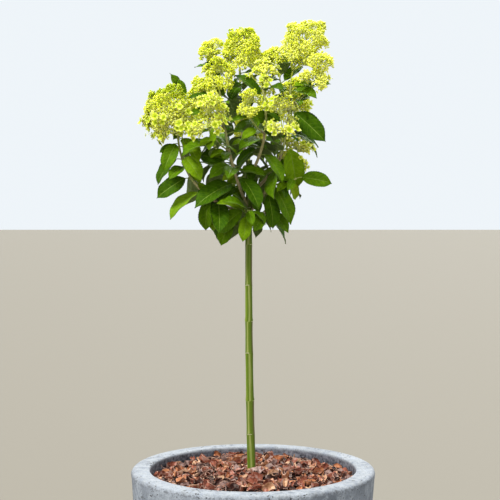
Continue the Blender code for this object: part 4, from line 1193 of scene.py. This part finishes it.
def spare_shares(name):
    """How far up it a limb may bear small leaves."""
    if name.startswith("skirt"):
        return 0.80, 0.97
    return (0.36, 0.54, 0.74, 0.90) if name in bough_names else (0.30, 0.62, 0.90)


def spare_places(dice):
    """Where small leaves may stand on the shoots, the twigs and the trunk: foot, stem radius and turn."""
    for name, limb in limbs.items():
        for k, share in enumerate(spare_shares(name)):
            for side in range(2):
                turn = math.pi / 2 * k + math.pi * side + dice.uniform(0, math.tau)
                yield limb.point(share), limb.radius(share), turn
    for k in range(SPARE_TRUNK_LEAVES):
        height = blend(*SPARE_TRUNK_HEIGHTS, k / (SPARE_TRUNK_LEAVES - 1))
        yield trunk_point(height), trunk_radius(height), k * GOLDEN_TURN - 2.0


def hides_stem(blade):
    """Whether a blade would stand before a stem that shows from the front."""
    for name, (low, high) in SEEN_STEMS.items():
        for share in np.linspace(low, high, 24):
            if blade.ray_cast(limbs[name].point(share) + FORWARD * 0.004, FORWARD, SIGHT_REACH)[0]:
                return True
    return False


def hides_panicle(blade):
    """Whether a blade would stand before a panicle that shows from the front."""
    for name, most in SEEN_PANICLES.items():
        points = [vertex.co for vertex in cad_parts["panicle_" + name].data.vertices][::7]
        hits = [blade.ray_cast(point + FORWARD * 0.002, FORWARD, SIGHT_REACH)[0] for point in points]
        if sum(hit is not None for hit in hits) > most * len(points):
            return True
    return False


def has_room(blade, skins):
    """Whether a blade touches none of the skins and stands before nothing that shows."""
    return not (any(blade.overlap(skin) for skin in skins) or hides_stem(blade) or hides_panicle(blade))


def spare_leaves(solids):
    """The small leaves that the solids leave out: first the chosen ones, then more wherever there is room."""
    dice, taken = random.Random("spare leaves 1"), []
    for name, share, turn, rise, length in SPARE_LEAVES:
        limb = limbs[name]
        angles = math.radians(turn), math.radians(rise), 0.0
        leaf = Leaf(limb.point(share), limb.radius(share), *angles, length)
        blade = blade_skin(leaf)
        if has_room(blade, solids + taken):
            taken.append(blade)
            yield leaf
    for foot, stem_radius, aim in spare_places(dice):
        height = head_share(foot.z)
        for _ in range(SPARE_TRIES):
            rise = blend(LOW_LEAF_RISE, HIGH_LEAF_RISE, height)
            rise += dice.uniform(-SPARE_RISE_STRAY, SPARE_RISE_STRAY)
            length = blend(*SPARE_LENGTHS, height) * dice.uniform(*SPARE_LENGTH_SPREAD)
            turn = aim + dice.uniform(-SPARE_TURN_STRAY, SPARE_TURN_STRAY)
            roll = dice.uniform(-SPARE_ROLL_STRAY, SPARE_ROLL_STRAY)
            leaf = Leaf(foot, stem_radius, turn, rise, roll, length)
            blade = blade_skin(leaf)
            tip = Vector(leaf.sheet(np.array([1.0]), np.zeros(1), np.zeros(1))[0])
            off_head = min(skin.find_nearest(tip)[3] for skin in solids)
            near_head = off_head <= SPARE_REACH and tip.z >= SPARE_LEAST_Z
            if near_head and has_room(blade, solids + taken):
                taken.append(blade)
                yield leaf
                break


def make_leaves():
    """Builds the leaves, and gives the skins of them all for what grows after them."""
    dice = random.Random("leaf tints")
    heaps, petioles = {name: Heap() for name in LEAF_TINTS}, Heap()
    skirts = [f"skirt_{index + 1}" for index in range(SKIRT_TWIGS)]
    nodes = {name: "shoot_" + name for name in bough_names} | {name: name for name in skirts}
    masses = list(nodes.values())
    mass_skins = {name: solid_skin(node) for name, node in nodes.items()}
    panicle_skins = [solid_skin(node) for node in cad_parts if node.startswith("panicle")]
    spare = list(spare_leaves([*mass_skins.values(), *panicle_skins, solid_skin("trunk")]))
    for leaf in [*grown_leaves(mass_skins), *spare]:
        add_blade(heaps[deal_tint(leaf, dice)], leaf, dice)
        add_petiole(petioles, leaf)
    under, midrib = blade_under(), midrib_green()
    for name, heap in heaps.items():
        upper = blade_green(name + "_skin", *LEAF_TINTS[name])
        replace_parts(heap.piece(name, "foliage", [upper, under, midrib], sharp=75), *masses)
    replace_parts(petioles.piece("petioles", "foliage", [petiole_green()]), *masses)
    return [*mass_skins.values(), *[blade_skin(leaf) for leaf in spare]]


leaf_skins = make_leaves()


# Panicles: the flower heads, cones of small domes on branchlets round a stalk, still in lime green bud. Each
# dome is a spray of fine rays that end in bunches of buds, and low down a few pale florets have opened.
DOME_RADIUS = 0.0090
DOME_SHARE = 0.20
DOME_FLATNESS = 0.62
DOME_SPACING = 0.046
DOME_STRAY = 0.006
DOME_SPREAD = (0.80, 1.0)
DOME_SIZES = (0.86, 1.0)
TIER_SPACING = 0.040
LOWEST_TIER = 0.12
HIGHEST_TIER = 0.90
PANICLE_TAPER = 0.30
# A stalk's gap to its limb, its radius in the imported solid, and the share of that which is real.
STALK_GAP = 0.0003
STALK_RADIUS = 0.0018
STALK_SHOWN = 0.8
STALK_TIP_SHARE = 0.6
BRANCHLET_RUN = 0.25
LOWEST_BRANCHLET = 0.04
HUB_DEPTH = 0.95
RAYS = 14
RAY_SPREAD = 1.15
RAY_TILT_STRAY = 0.18
RAY_TURN_STRAY = 0.4
RAY_REACH = (0.50, 0.88)
FORKS = 3
FORK_STRAY = 0.5
FORK_BUDS = (2, 5)
BUD_RADIUS = (0.0015, 0.0023)
RAY_RADIUS = 0.00070
BETWEEN_SIZE = 0.85
BETWEEN_RAYS = 8
BETWEEN_GAPS = (0.026, 0.058)
BETWEEN_LEAST = 0.017
# A branchlet's bow, and its radius at each end.
BRANCHLET_BOW = 0.10
BRANCHLET_RADII = (0.0010, 0.0007)
# Where a ray forks, and how much thinner it and its forks get, as shares.
RAY_SPLIT = (0.62, 0.78)
RAY_THINNING = (0.85, 0.8, 0.6)
FORK_REACH = 0.24
BUD_POSES = 64
# How far up a panicle its tints are at their mean, and below where its fullest forks have lost a bud.
EVEN_SHARE = 0.65
LOST_BUD_SHARE = 0.4
# How tints spread within a panicle, and how far a bud stands off its fork in radii of its own.
TINT_SPREAD = (1.55, 0.75)
BUD_STRAY = (0.7, 1.5)
# How much larger the buds are where few are left to a fork.
LAST_BUDS = 1.25
# How far out past the buds a floret stands, and how thin its ray is at each end beside the others.
FLORET_REACH = (1.25, 1.45)
FLORET_RAY = (0.7, 0.6)
FLORET_LEAN = np.array([0, -0.004, 0.003])
SEPAL_GRID = (6, 5)
SEPAL_THICKNESS = 0.00018
# A sepal in shares of its length: the shorter pair, its width, its cup, how it is arched, and how high it
# lies over the last one.
SHORT_SEPAL = 0.86
SEPAL_WIDTH = 0.52
SEPAL_CUP = (0.15, 0.75)
SEPAL_ARCH = 0.10
SEPAL_LAP = 0.02
SEPAL_TURN_STRAY = 0.1
# Name, which is that of the limb that bears it, top, half width, bare share of its stalk.
PANICLES = (
    ("right", (0.128, 0.000, 1.358), 0.053, 0.40),
    ("right_side", (0.150, -0.034, 1.288), 0.044, 0.00),
    ("centre", (-0.016, 0.040, 1.348), 0.055, 0.00),
    ("top_far_left", (-0.102, 0.048, 1.318), 0.042, 0.00),
    ("left", (-0.196, -0.020, 1.214), 0.063, 0.05),
    ("front", (-0.090, -0.104, 1.180), 0.046, 0.05),
    ("front_left", (-0.061, -0.052, 1.268), 0.040, 0.00),
    ("small_left", (-0.104, -0.034, 1.216), 0.022, 0.10),
    ("centre_right", (0.030, -0.036, 1.266), 0.034, 0.05),
    ("small_top", (0.044, 0.034, 1.304), 0.028, 0.20),
    ("low_centre", (-0.006, -0.074, 1.200), 0.031, 0.10),
    ("low_right", (0.050, -0.068, 1.190), 0.043, 0.10),
    ("right_low", (0.108, 0.016, 1.098), 0.034, 0.05),
    ("back_left", (-0.118, 0.130, 1.244), 0.048, 0.05),
    ("back_right", (0.100, 0.130, 1.250), 0.044, 0.05),
    ("back", (-0.008, 0.172, 1.190), 0.046, 0.05),
)
# How much greener than its foot a panicle is at its top, where the buds are youngest.
TOP_SHADE = {"left": 9.0, "centre": 2.4}
USUAL_TOP_SHADE = 1.0
# How much paler than the greenest panicle each is in all. For those that hang in the shade of leaves and
# other panicles, such as right_low, low_right, right_side and centre_right, much of it is painted light.
PALENESS = {
    "right": 1.1,
    "right_side": 1.3,
    "centre_right": 1.2,
    "low_right": 1.8,
    "right_low": 2.2,
    "front": 1.1,
    "small_top": 0.5,
    "centre": 0.0,
    "top_far_left": 0.6,
    "front_left": 0.1,
    "left": 0.1,
}
USUAL_PALENESS = 0.2
# Panicle: share of its domes that bear open florets, and how high up it they go.
FLORET_SHARES = {
    "left": (1.0, 0.50),
    "front": (1.0, 1.1),
    "small_left": (0.5, 1.0),
    "right": (0.4, 0.4),
    "centre_right": (0.8, 1.0),
    "right_side": (0.4, 0.6),
    "low_right": (0.9, 1.0),
    "right_low": (1.0, 1.0),
    "back_left": (0.6, 0.5),
    "back_right": (0.4, 0.5),
    "back": (0.4, 0.5),
}
# Where the heads have opened: rays to a dome, fewest and most buds to a fork, radius of a ray, fewest and
# most florets to a dome, length of a sepal, and the share of the in-between bunches that are there.
OPEN_PANICLES = {
    "front": (9, (1, 1), 0.00130, (3, 6), (0.0065, 0.0100), 0.55),
    "low_right": (9, (1, 1), 0.00130, (3, 5), (0.0062, 0.0095), 0.5),
    "right_low": (9, (1, 1), 0.00125, (4, 6), (0.0065, 0.0100), 0.5),
    "low_centre": (12, (1, 3), 0.00085, (2, 4), (0.0060, 0.0085), 0.8),
    "centre_right": (11, (1, 2), 0.00110, (3, 5), (0.0065, 0.0098), 0.5),
    "right_side": (12, (1, 2), 0.00105, (2, 4), (0.0060, 0.0090), 0.7),
    "right": (13, (1, 4), 0.00090, (2, 4), (0.0060, 0.0085), 1.0),
    "left": (14, (3, 5), 0.00070, (4, 7), (0.0080, 0.0112), 1.0),
}
USUAL_PANICLE = (RAYS, FORK_BUDS, RAY_RADIUS, (3, 5), (0.0068, 0.0100), 1.0)
# Panicle, how far up its stalk, and place of an open floret on a long thin ray.
STRAY_FLORETS = (
    ("left", 0.10, (-0.225, -0.030, 1.108)),
    ("left", 0.08, (-0.188, -0.050, 1.118)),
    ("left", 0.06, (-0.175, -0.060, 1.112)),
    ("left", 0.06, (-0.150, -0.058, 1.108)),
    ("front", 0.05, (-0.062, -0.120, 1.112)),
    ("right_low", 0.10, (0.100, -0.010, 1.062)),
)
STRAY_RAY_RADIUS = 0.00045
STRAY_RAY_RISE = 0.008
STRAY_SEPAL = 0.0060
# Panicle, how far up its stalk, middle and radius of a smaller dome at its edge.
SPARE_DOMES = (
    ("right", 0.60, (0.083, 0.000, 1.338), 0.013),
    ("right", 0.60, (0.145, 0.002, 1.340), 0.013),
    ("right", 0.60, (0.153, 0.004, 1.306), 0.013),
    ("right", 0.30, (0.092, 0.002, 1.266), 0.012),
    ("right_side", 0.10, (0.138, -0.030, 1.236), 0.014),
    ("front_left", 0.20, (-0.088, -0.050, 1.233), 0.014),
    ("front_left", 0.30, (-0.096, -0.044, 1.246), 0.012),
    ("centre_right", 0.20, (-0.006, -0.036, 1.226), 0.014),
    ("centre", 0.75, (-0.007, 0.040, 1.334), 0.012),
    ("top_far_left", 0.15, (-0.081, 0.049, 1.289), 0.012),
    ("top_far_left", 0.45, (-0.092, 0.048, 1.278), 0.014),
    ("small_top", 0.60, (0.027, 0.031, 1.278), 0.014),
    ("left", 0.60, (-0.212, -0.020, 1.191), 0.012),
    ("left", 0.30, (-0.215, -0.020, 1.135), 0.012),
    ("left", 0.04, (-0.224, -0.020, 1.141), 0.011),
    ("right_low", 0.30, (0.074, 0.018, 1.095), 0.011),
    ("back", 0.75, (0.025, 0.167, 1.196), 0.014),
)
# Shade and light of the buds, from the greenest to the palest.
BUD_TINTS = {
    "buds_shaded": ((0.27, 0.37, 0.005), (0.46, 0.57, 0.014)),
    "buds_lime": ((0.62, 0.70, 0.018), (0.80, 0.86, 0.055)),
    "buds_bright": ((0.78, 0.84, 0.045), (0.91, 0.94, 0.140)),
    "buds_light": ((0.88, 0.93, 0.080), (0.97, 0.98, 0.250)),
}
STALK_GREENS = ((0.46, 0.54, 0.08), (0.66, 0.72, 0.20))
RAY_GREENS = ((0.80, 0.87, 0.10), (0.96, 0.98, 0.34))
SEPAL_GREENS = ((0.30, 0.42, 0.006), (0.66, 0.77, 0.020), (0.90, 0.94, 0.200))
# How far each colour of light goes into thin flesh, as shares of this depth.
FLESH_SHARES = (1.0, 0.9, 0.25)
FLESH_DEPTH = 0.006


def panicle_parts(name, bearer, top, half_width, bare):
    """A panicle's stalk, and its domes of buds as (foot of the branchlet, middle of the dome, radius)."""
    dice = random.Random("panicle " + name)
    heading = bearer.heading(1)
    base = bearer.end + heading * STALK_GAP
    length = (top - base).length
    radius = DOME_RADIUS + DOME_SHARE * half_width
    radii = (STALK_RADIUS, STALK_RADIUS * STALK_TIP_SHARE)
    stalk = Limb(base, base + heading * length / 3, top - heading * radius, radii)
    tiers = max(2, math.ceil(length * (1 - bare) / TIER_SPACING))
    domes = []
    for tier in range(tiers):
        share = blend(bare + LOWEST_TIER, HIGHEST_TIER, tier / (tiers - 1))
        spread = (half_width - radius * DOME_SPREAD[0]) * (1 - PANICLE_TAPER * share**5)
        count = max(3, round(math.tau * spread / DOME_SPACING))
        sideways = stalk.heading(share).orthogonal().normalized()
        for k in range(count):
            turn = math.tau * (k + tier % 2 / 2) / count + dice.uniform(-RISE_STRAY, RISE_STRAY)
            outward = Quaternion(stalk.heading(share), turn) @ sideways
            middle = stalk.point(share) + outward * spread * dice.uniform(*DOME_SPREAD)
            middle += stalk.heading(share) * dice.uniform(-DOME_STRAY, DOME_STRAY)
            foot = stalk.point(max(share - BRANCHLET_RUN, LOWEST_BRANCHLET))
            domes.append((foot, middle, radius * dice.uniform(*DOME_SIZES)))
    domes.append((stalk.point(HIGHEST_TIER - BRANCHLET_RUN), top - stalk.heading(1) * radius, radius))
    return stalk, domes


def is_within(point, skin):
    """Whether the point lies inside a solid, from the number of skins over it."""
    upward, crossed = Vector((0.05, 0.03, 1)).normalized(), 0
    while True:
        hit = skin.ray_cast(point, upward)[0]
        if hit is None:
            return crossed % 2 == 1
        point, crossed = hit + upward * 0.000002, crossed + 1


def dome_axes(foot, middle):
    """Two axes across a dome, and the one that it looks along."""
    axis = (middle - foot).normalized()
    side = axis.orthogonal().normalized()
    return side, axis.cross(side), axis


def is_budded(foot, middle, radius, skin):
    """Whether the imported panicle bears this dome: points all round within it lie inside the solid."""
    side, other, axis = dome_axes(foot, middle)
    steps = [side, -side, other, -other]
    points = [middle + step * radius * 0.70 for step in steps]
    points += [middle + axis * radius * DOME_FLATNESS * step for step in (0.7, 0.0)]
    return all(is_within(point, skin) for point in points)


def rods(starts, ends, first_radius, last_radius, sides=3):
    """Many thin straight rods at once, open at their ends."""
    along = unit(ends - starts)
    side = unit(np.cross(along, (0.31, 0.42, 0.85)))
    up = np.cross(along, side)
    angles = np.arange(sides) * math.tau / sides
    ring = np.cos(angles)[:, None] * side[:, None] + np.sin(angles)[:, None] * up[:, None]
    points = np.stack([starts[:, None] + ring * first_radius, ends[:, None] + ring * last_radius], 1)
    faces = grid_faces(2, sides, round_columns=True)
    faces = faces[None] + (np.arange(len(starts)) * 2 * sides)[:, None, None]
    return points.reshape(-1, 3), faces.reshape(-1, 4)


def round_bud():
    """A bud: a pointed ball of twelve faces."""
    turns = np.arange(6) * math.tau / 6
    belt = np.stack([np.cos(turns), np.sin(turns), 0 * turns], -1)
    faces = [(k, (k + 1) % 6, 6) for k in range(6)] + [((k + 1) % 6, k, 7) for k in range(6)]
    return np.concatenate([belt, [(0, 0, 1.05), (0, 0, -1.05)]]), np.array(faces)


def any_turns(count, dice):
    """Rotation matrices in every direction."""
    turns = []
    for _ in range(count):
        axis = Vector(dice.normal(0, 1, 3)).normalized()
        turns.append(Quaternion(axis, dice.uniform(0, math.tau)).to_matrix())
    return np.array(turns)


def bunches(foot, middle, radius, rays, dice):
    """A dome's hub, the tips of its rays, and the tips of the forks that each ray ends in."""
    side, other, axis = [np.array(v) for v in dome_axes(foot, middle)]
    middle = np.array(middle)
    hub = middle - axis * radius * HUB_DEPTH
    order = np.arange(rays)
    tilt = np.arccos(1 - (order + 0.5) / rays * RAY_SPREAD)
    tilt += dice.uniform(-RAY_TILT_STRAY, RAY_TILT_STRAY, rays)
    turn = order * GOLDEN_TURN + dice.uniform(-RAY_TURN_STRAY, RAY_TURN_STRAY, rays)
    outward = (side * np.cos(turn)[:, None] + other * np.sin(turn)[:, None]) * np.sin(tilt)[:, None]
    reach = radius * dice.uniform(*RAY_REACH, (rays, 1))
    tips = middle + outward * reach + axis * np.cos(tilt)[:, None] * reach * DOME_FLATNESS
    along = unit(tips - hub)
    first = unit(np.cross(along, side + 0.3 * other))
    second = np.cross(along, first)
    spin = (np.arange(FORKS) * math.tau / FORKS + dice.uniform(0, math.tau, (rays, 1)))[..., None]
    spread = first[:, None] * np.cos(spin) + second[:, None] * np.sin(spin)
    spread += along[:, None] * dice.uniform(-FORK_STRAY, FORK_STRAY, spin.shape)
    return hub, tips, tips[:, None] + spread * radius * FORK_REACH


def between_domes(domes, leaves_near):
    """Smaller bunches that close the gaps between neighbouring domes, where no leaf stands."""
    pairs = [(first, second) for k, first in enumerate(domes) for second in domes[k + 1 :]]
    pairs.sort(key=lambda pair: (pair[0][1] - pair[1][1]).length)
    taken = []
    for (foot, middle, radius), (_, other, other_radius) in pairs:
        place, size = middle.lerp(other, 0.5), (radius + other_radius) / 2 * BETWEEN_SIZE
        if not BETWEEN_GAPS[0] < (middle - other).length < BETWEEN_GAPS[1]:
            continue
        if any((place - near).length < BETWEEN_LEAST for near in taken):
            continue
        if all(skin.find_nearest(place, size * 0.6)[0] is None for skin in leaves_near):
            taken.append(place)
            yield foot, place, size


def add_floret(heap, centre, axis, size, dice):
    """An open sterile floret: four rounded, cupped sepals crossing at a small green eye."""
    axis = unit(axis)
    side = unit(np.cross(axis, (0.3, 0.5, 0.8)))
    other = np.cross(axis, side)
    rows, columns = SEPAL_GRID
    along, over = np.meshgrid(np.linspace(0, 1, rows), np.linspace(-1, 1, columns), indexing="ij")
    start, cup = dice.uniform(0, math.tau), dice.uniform(*SEPAL_CUP)
    spots = np.tile(np.stack([over / 2 + 0.5, along], -1).reshape(-1, 2), (2, 1))
    faces = grid_faces(rows, columns)
    faces = np.concatenate([faces, faces[:, ::-1] + rows * columns])
    for k in range(4):
        turn = start + k * math.pi / 2 + dice.uniform(-SEPAL_TURN_STRAY, SEPAL_TURN_STRAY)
        ahead = side * math.cos(turn) + other * math.sin(turn)
        across = other * math.cos(turn) - side * math.sin(turn)
        long = size * (1.0 if k % 2 else SHORT_SEPAL)
        half = long * SEPAL_WIDTH * np.sin(math.pi * np.clip(along, 0.04, 0.985) ** 0.75) ** 0.7
        lift = long * (cup * along**2 - SEPAL_ARCH * over**2 * along) + size * SEPAL_LAP * k
        sheet = ahead * (along * long)[..., None] + across * (over * half)[..., None] + axis * lift[..., None]
        upper = (centre + sheet).reshape(-1, 3)
        heap.add(np.concatenate([upper, upper - axis * SEPAL_THICKNESS]), faces, spots=spots)


def let_light_through(made, weight):
    """Thin green flesh, which the light goes a few millimetres into."""
    made.shader["Subsurface Weight"].default_value = weight
    made.shader["Subsurface Radius"].default_value = FLESH_SHARES
    made.shader["Subsurface Scale"].default_value = FLESH_DEPTH


def sepal_green():
    """Sepals: lime at the eye, paling to their tips, with fine specks."""
    made = Finish("sepal_green", 0.6, 0.1)
    let_light_through(made, 0.4)
    _, along = made.form()
    speck = made.noise(420.0, 4.0)
    share = made.math("ADD", along, made.between(speck, 0.3, 0.7, -0.15, 0.15))
    return made.wear(made.ramp(share, (0.12, 0.50, 0.90), SEPAL_GREENS), None, speck, 0.0002)


def bud_green(name, low, high):
    made = Finish(name, gloss=0.15)
    let_light_through(made, 0.8)
    return made.grained(made.noise(520.0, 3.0), (0.35, 0.65), (low, high), 0.0002, (0.65, 0.45))


def add_branchlet(heap, stalk, foot, hub):
    """The bowed branchlet that carries a dome's hub."""
    corner = (foot + hub) / 2 + np.array(stalk.heading(0.5)) * np.linalg.norm(hub - foot) * BRANCHLET_BOW
    heap.add(*tube(bow(foot, corner, hub, 7), np.linspace(*BRANCHLET_RADII, 7), 6))


def add_rays(heap, hub, tips, forks, radius, dice):
    """A dome's rays, each split into forks before its tip."""
    count, (thin, fork, tip) = len(tips), RAY_THINNING
    splits = hub + (tips - hub) * dice.uniform(*RAY_SPLIT, (count, 1))
    heap.add(*rods(np.repeat(hub[None], count, 0), splits, radius, radius * thin, 4))
    heap.add(*rods(np.repeat(splits, FORKS, 0), forks.reshape(-1, 3), radius * fork, radius * tip))


def add_buds(heaps, forks, share, paleness, fork_buds, poses, dice):
    """The buds of a dome this far up its panicle, in bunches round the forks, each bunch in one tint."""
    tips, (fewest, most), (ball, ball_faces) = forks.reshape(-1, 3), fork_buds, round_bud()
    light = np.clip(paleness + dice.normal(*TINT_SPREAD, len(tips)), 0, 3.49).astype(int)
    crowd = dice.integers(fewest, most + 1 - (share < LOST_BUD_SHARE and most > 2), len(tips))
    owners = np.repeat(np.arange(len(tips)), crowd)
    sizes = dice.uniform(*BUD_RADIUS, len(owners)) * (LAST_BUDS if most < 3 else 1.0)
    stray = unit(dice.normal(0, 1, (len(owners), 3)))
    buds = tips[owners] + stray * sizes[:, None] * dice.uniform(*BUD_STRAY, (len(owners), 1))
    for tint, heap in enumerate(heaps):
        chosen = light[owners] == tint
        count = chosen.sum()
        if count:
            squash = 1 + dice.uniform(-0.12, 0.12, (count, 1, 3))
            turned = (ball * squash) @ poses[dice.integers(0, len(poses), count)]
            points = buds[chosen][:, None] + turned * sizes[chosen][:, None, None]
            faces = ball_faces[None] + (np.arange(count) * len(ball))[:, None, None]
            heap.add(points, faces.reshape(-1, 3))


def add_open_florets(florets, rays, hub, tips, radius, numbers, lengths, dice):
    """Some open florets, each on a thin ray that reaches out past the buds."""
    fewest, most = numbers
    count = min(dice.integers(fewest, most + 1), len(tips))
    for k in dice.choice(len(tips), count, replace=False):
        outward = tips[k] - hub
        place = hub + outward * dice.uniform(*FLORET_REACH)
        add_floret(florets, place, outward + FLORET_LEAN, dice.uniform(*lengths), dice)
        rays.add(*rods(hub[None], place[None], radius * FLORET_RAY[0], radius * FLORET_RAY[1]))


def add_stray_florets(florets, rays, stalks, dice):
    """The open florets that stand out on long rays of their own."""
    for bearer, share, place in STRAY_FLORETS:
        foot, place = np.array(stalks[bearer].point(share)), np.array(place)
        curve = bow(foot, (foot + place) / 2 + (0, 0, STRAY_RAY_RISE), place, 9)
        rays.add(*rods(curve[:-1], curve[1:], STRAY_RAY_RADIUS, STRAY_RAY_RADIUS, 4))
        add_floret(florets, place, (place - foot) * (1, 1, 0.2), STRAY_SEPAL, dice)


def make_panicles():
    dice = np.random.default_rng(77)
    branches, rays, florets, stalks = Heap(), Heap(), Heap(), {}
    heaps, poses = {name: Heap() for name in BUD_TINTS}, any_turns(BUD_POSES, dice)
    for name, top, half_width, bare in PANICLES:
        stalk, domes = panicle_parts(name, limbs[name], Vector(top), half_width, bare)
        stalks[name], shares, skin = stalk, np.linspace(0, 1, 18), solid_skin("panicle_" + name)
        radii = [stalk.radius(share) * STALK_SHOWN for share in shares]
        branches.add(*tube([stalk.point(share) for share in shares], radii, 8))
        domes = [dome for dome in domes if is_budded(*dome, skin)]
        for bearer, share, middle, radius in SPARE_DOMES:
            if bearer == name:
                domes.append((stalk.point(share), Vector(middle), radius))
        most_rays, fork_buds, ray_radius, numbers, lengths, closed = OPEN_PANICLES.get(name, USUAL_PANICLE)
        fillers = list(between_domes(domes, leaf_skins))
        fillers = fillers[: round(len(fillers) * closed)]
        floret_share, floret_top = FLORET_SHARES.get(name, (0.0, 0.0))
        for k, (foot, middle, radius) in enumerate(domes + fillers):
            count = most_rays if k < len(domes) else round(most_rays * BETWEEN_RAYS / RAYS)
            hub, tips, forks = bunches(foot, middle, radius, count, dice)
            add_branchlet(branches, stalk, np.array(foot), hub)
            add_rays(rays, hub, tips, forks, ray_radius, dice)
            share = (middle.z - stalk.start.z) / max(top[2] - stalk.start.z, 0.01)
            paleness = (EVEN_SHARE - share) * TOP_SHADE.get(name, USUAL_TOP_SHADE)
            # Painted light: panicles that hang in the shade of others are made paler.
            paleness += PALENESS.get(name, USUAL_PALENESS)
            add_buds(heaps.values(), forks, share, paleness, fork_buds, poses, dice)
            if k < len(domes) and share < floret_top and dice.uniform() < floret_share:
                add_open_florets(florets, rays, hub, tips, ray_radius, numbers, lengths, dice)
    add_stray_florets(florets, rays, stalks, dice)
    pieces = [(name, heap, bud_green(name + "_skin", *BUD_TINTS[name])) for name, heap in heaps.items()]
    pieces.append(("panicle_stalks", branches, bud_green("stalk_green", *STALK_GREENS)))
    pieces.append(("panicle_rays", rays, bud_green("ray_green", *RAY_GREENS)))
    pieces.append(("sterile_florets", florets, sepal_green()))
    nodes = ["panicle_" + name for name, *_ in PANICLES]
    for name, heap, finish in pieces:
        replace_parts(heap.piece(name, "blossom", [finish]), *nodes)


make_panicles()


# Floor, light and camera: a plain pale floor in an even white room, soft daylight from the upper left and
# from behind with a faint fill from the front, and a long lens level with the head.
FLOOR_REACH = 40
FLOOR_COLOUR = (0.178, 0.162, 0.129)
# Name, strength, direction in which it shines, width of the source in degrees, colour.
LIGHTS = (
    ("key", 4.0, (0.55, 0.55, -1.0), 18, (1.0, 0.985, 0.95)),
    ("from_behind", 3.0, (-0.35, -0.9, -0.9), 25, (1.0, 1.0, 0.98)),
    ("from_the_front", 0.7, (-0.30, 1.0, -0.03), 70, (1.0, 1.0, 1.0)),
)
ROOM_COLOUR = (0.86, 0.91, 0.95)
CAMERA_PLACE = (-0.0062, -2.6, 0.968)
CAMERA_DIP = 2.25
CAMERA_LENS = 88.0


def make_floor():
    mesh = bpy.data.meshes.new("floor")
    corners = [(-1, -1, 0), (1, -1, 0), (1, 1, 0), (-1, 1, 0)]
    mesh.from_pydata([Vector(corner) * FLOOR_REACH for corner in corners], [], [(0, 1, 2, 3)])
    made = bpy.data.objects.new("floor", mesh)
    bpy.context.scene.collection.objects.link(made)
    finish = Finish("pale_floor", 0.9)
    finish.feed(finish.shader["Base Color"], FLOOR_COLOUR)
    mesh.materials.append(finish.material)
    made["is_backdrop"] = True


def make_light(name, strength, direction, width, colour):
    lamp = bpy.data.lights.new(name, "SUN")
    lamp.energy, lamp.angle, lamp.color = strength, math.radians(width), colour
    made = bpy.data.objects.new(name, lamp)
    made.rotation_euler = Vector(direction).to_track_quat("-Z", "Y").to_euler()
    bpy.context.scene.collection.objects.link(made)


make_floor()
for light in LIGHTS:
    make_light(*light)
room = bpy.data.worlds.new("white_room")
room.use_nodes = True
room.node_tree.nodes["Background"].inputs[0].default_value = (*ROOM_COLOUR, 1.0)
room.node_tree.nodes["Background"].inputs[1].default_value = 1.0
bpy.context.scene.world = room
bpy.context.scene.view_settings.view_transform = "Standard"

camera = bpy.data.objects.new("camera", bpy.data.cameras.new("camera"))
camera.location = CAMERA_PLACE
camera.rotation_euler = (math.radians(90 - CAMERA_DIP), 0.0, 0.0)
camera.data.lens = CAMERA_LENS
camera.data.sensor_width = 36.0
camera.data.clip_end = 200.0
bpy.context.scene.collection.objects.link(camera)
bpy.context.scene.camera = camera

boxes = {"cad": cad_box, "visual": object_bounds()}
{name: [list(map(float, corner)) for corner in box] for name, box in boxes.items()}
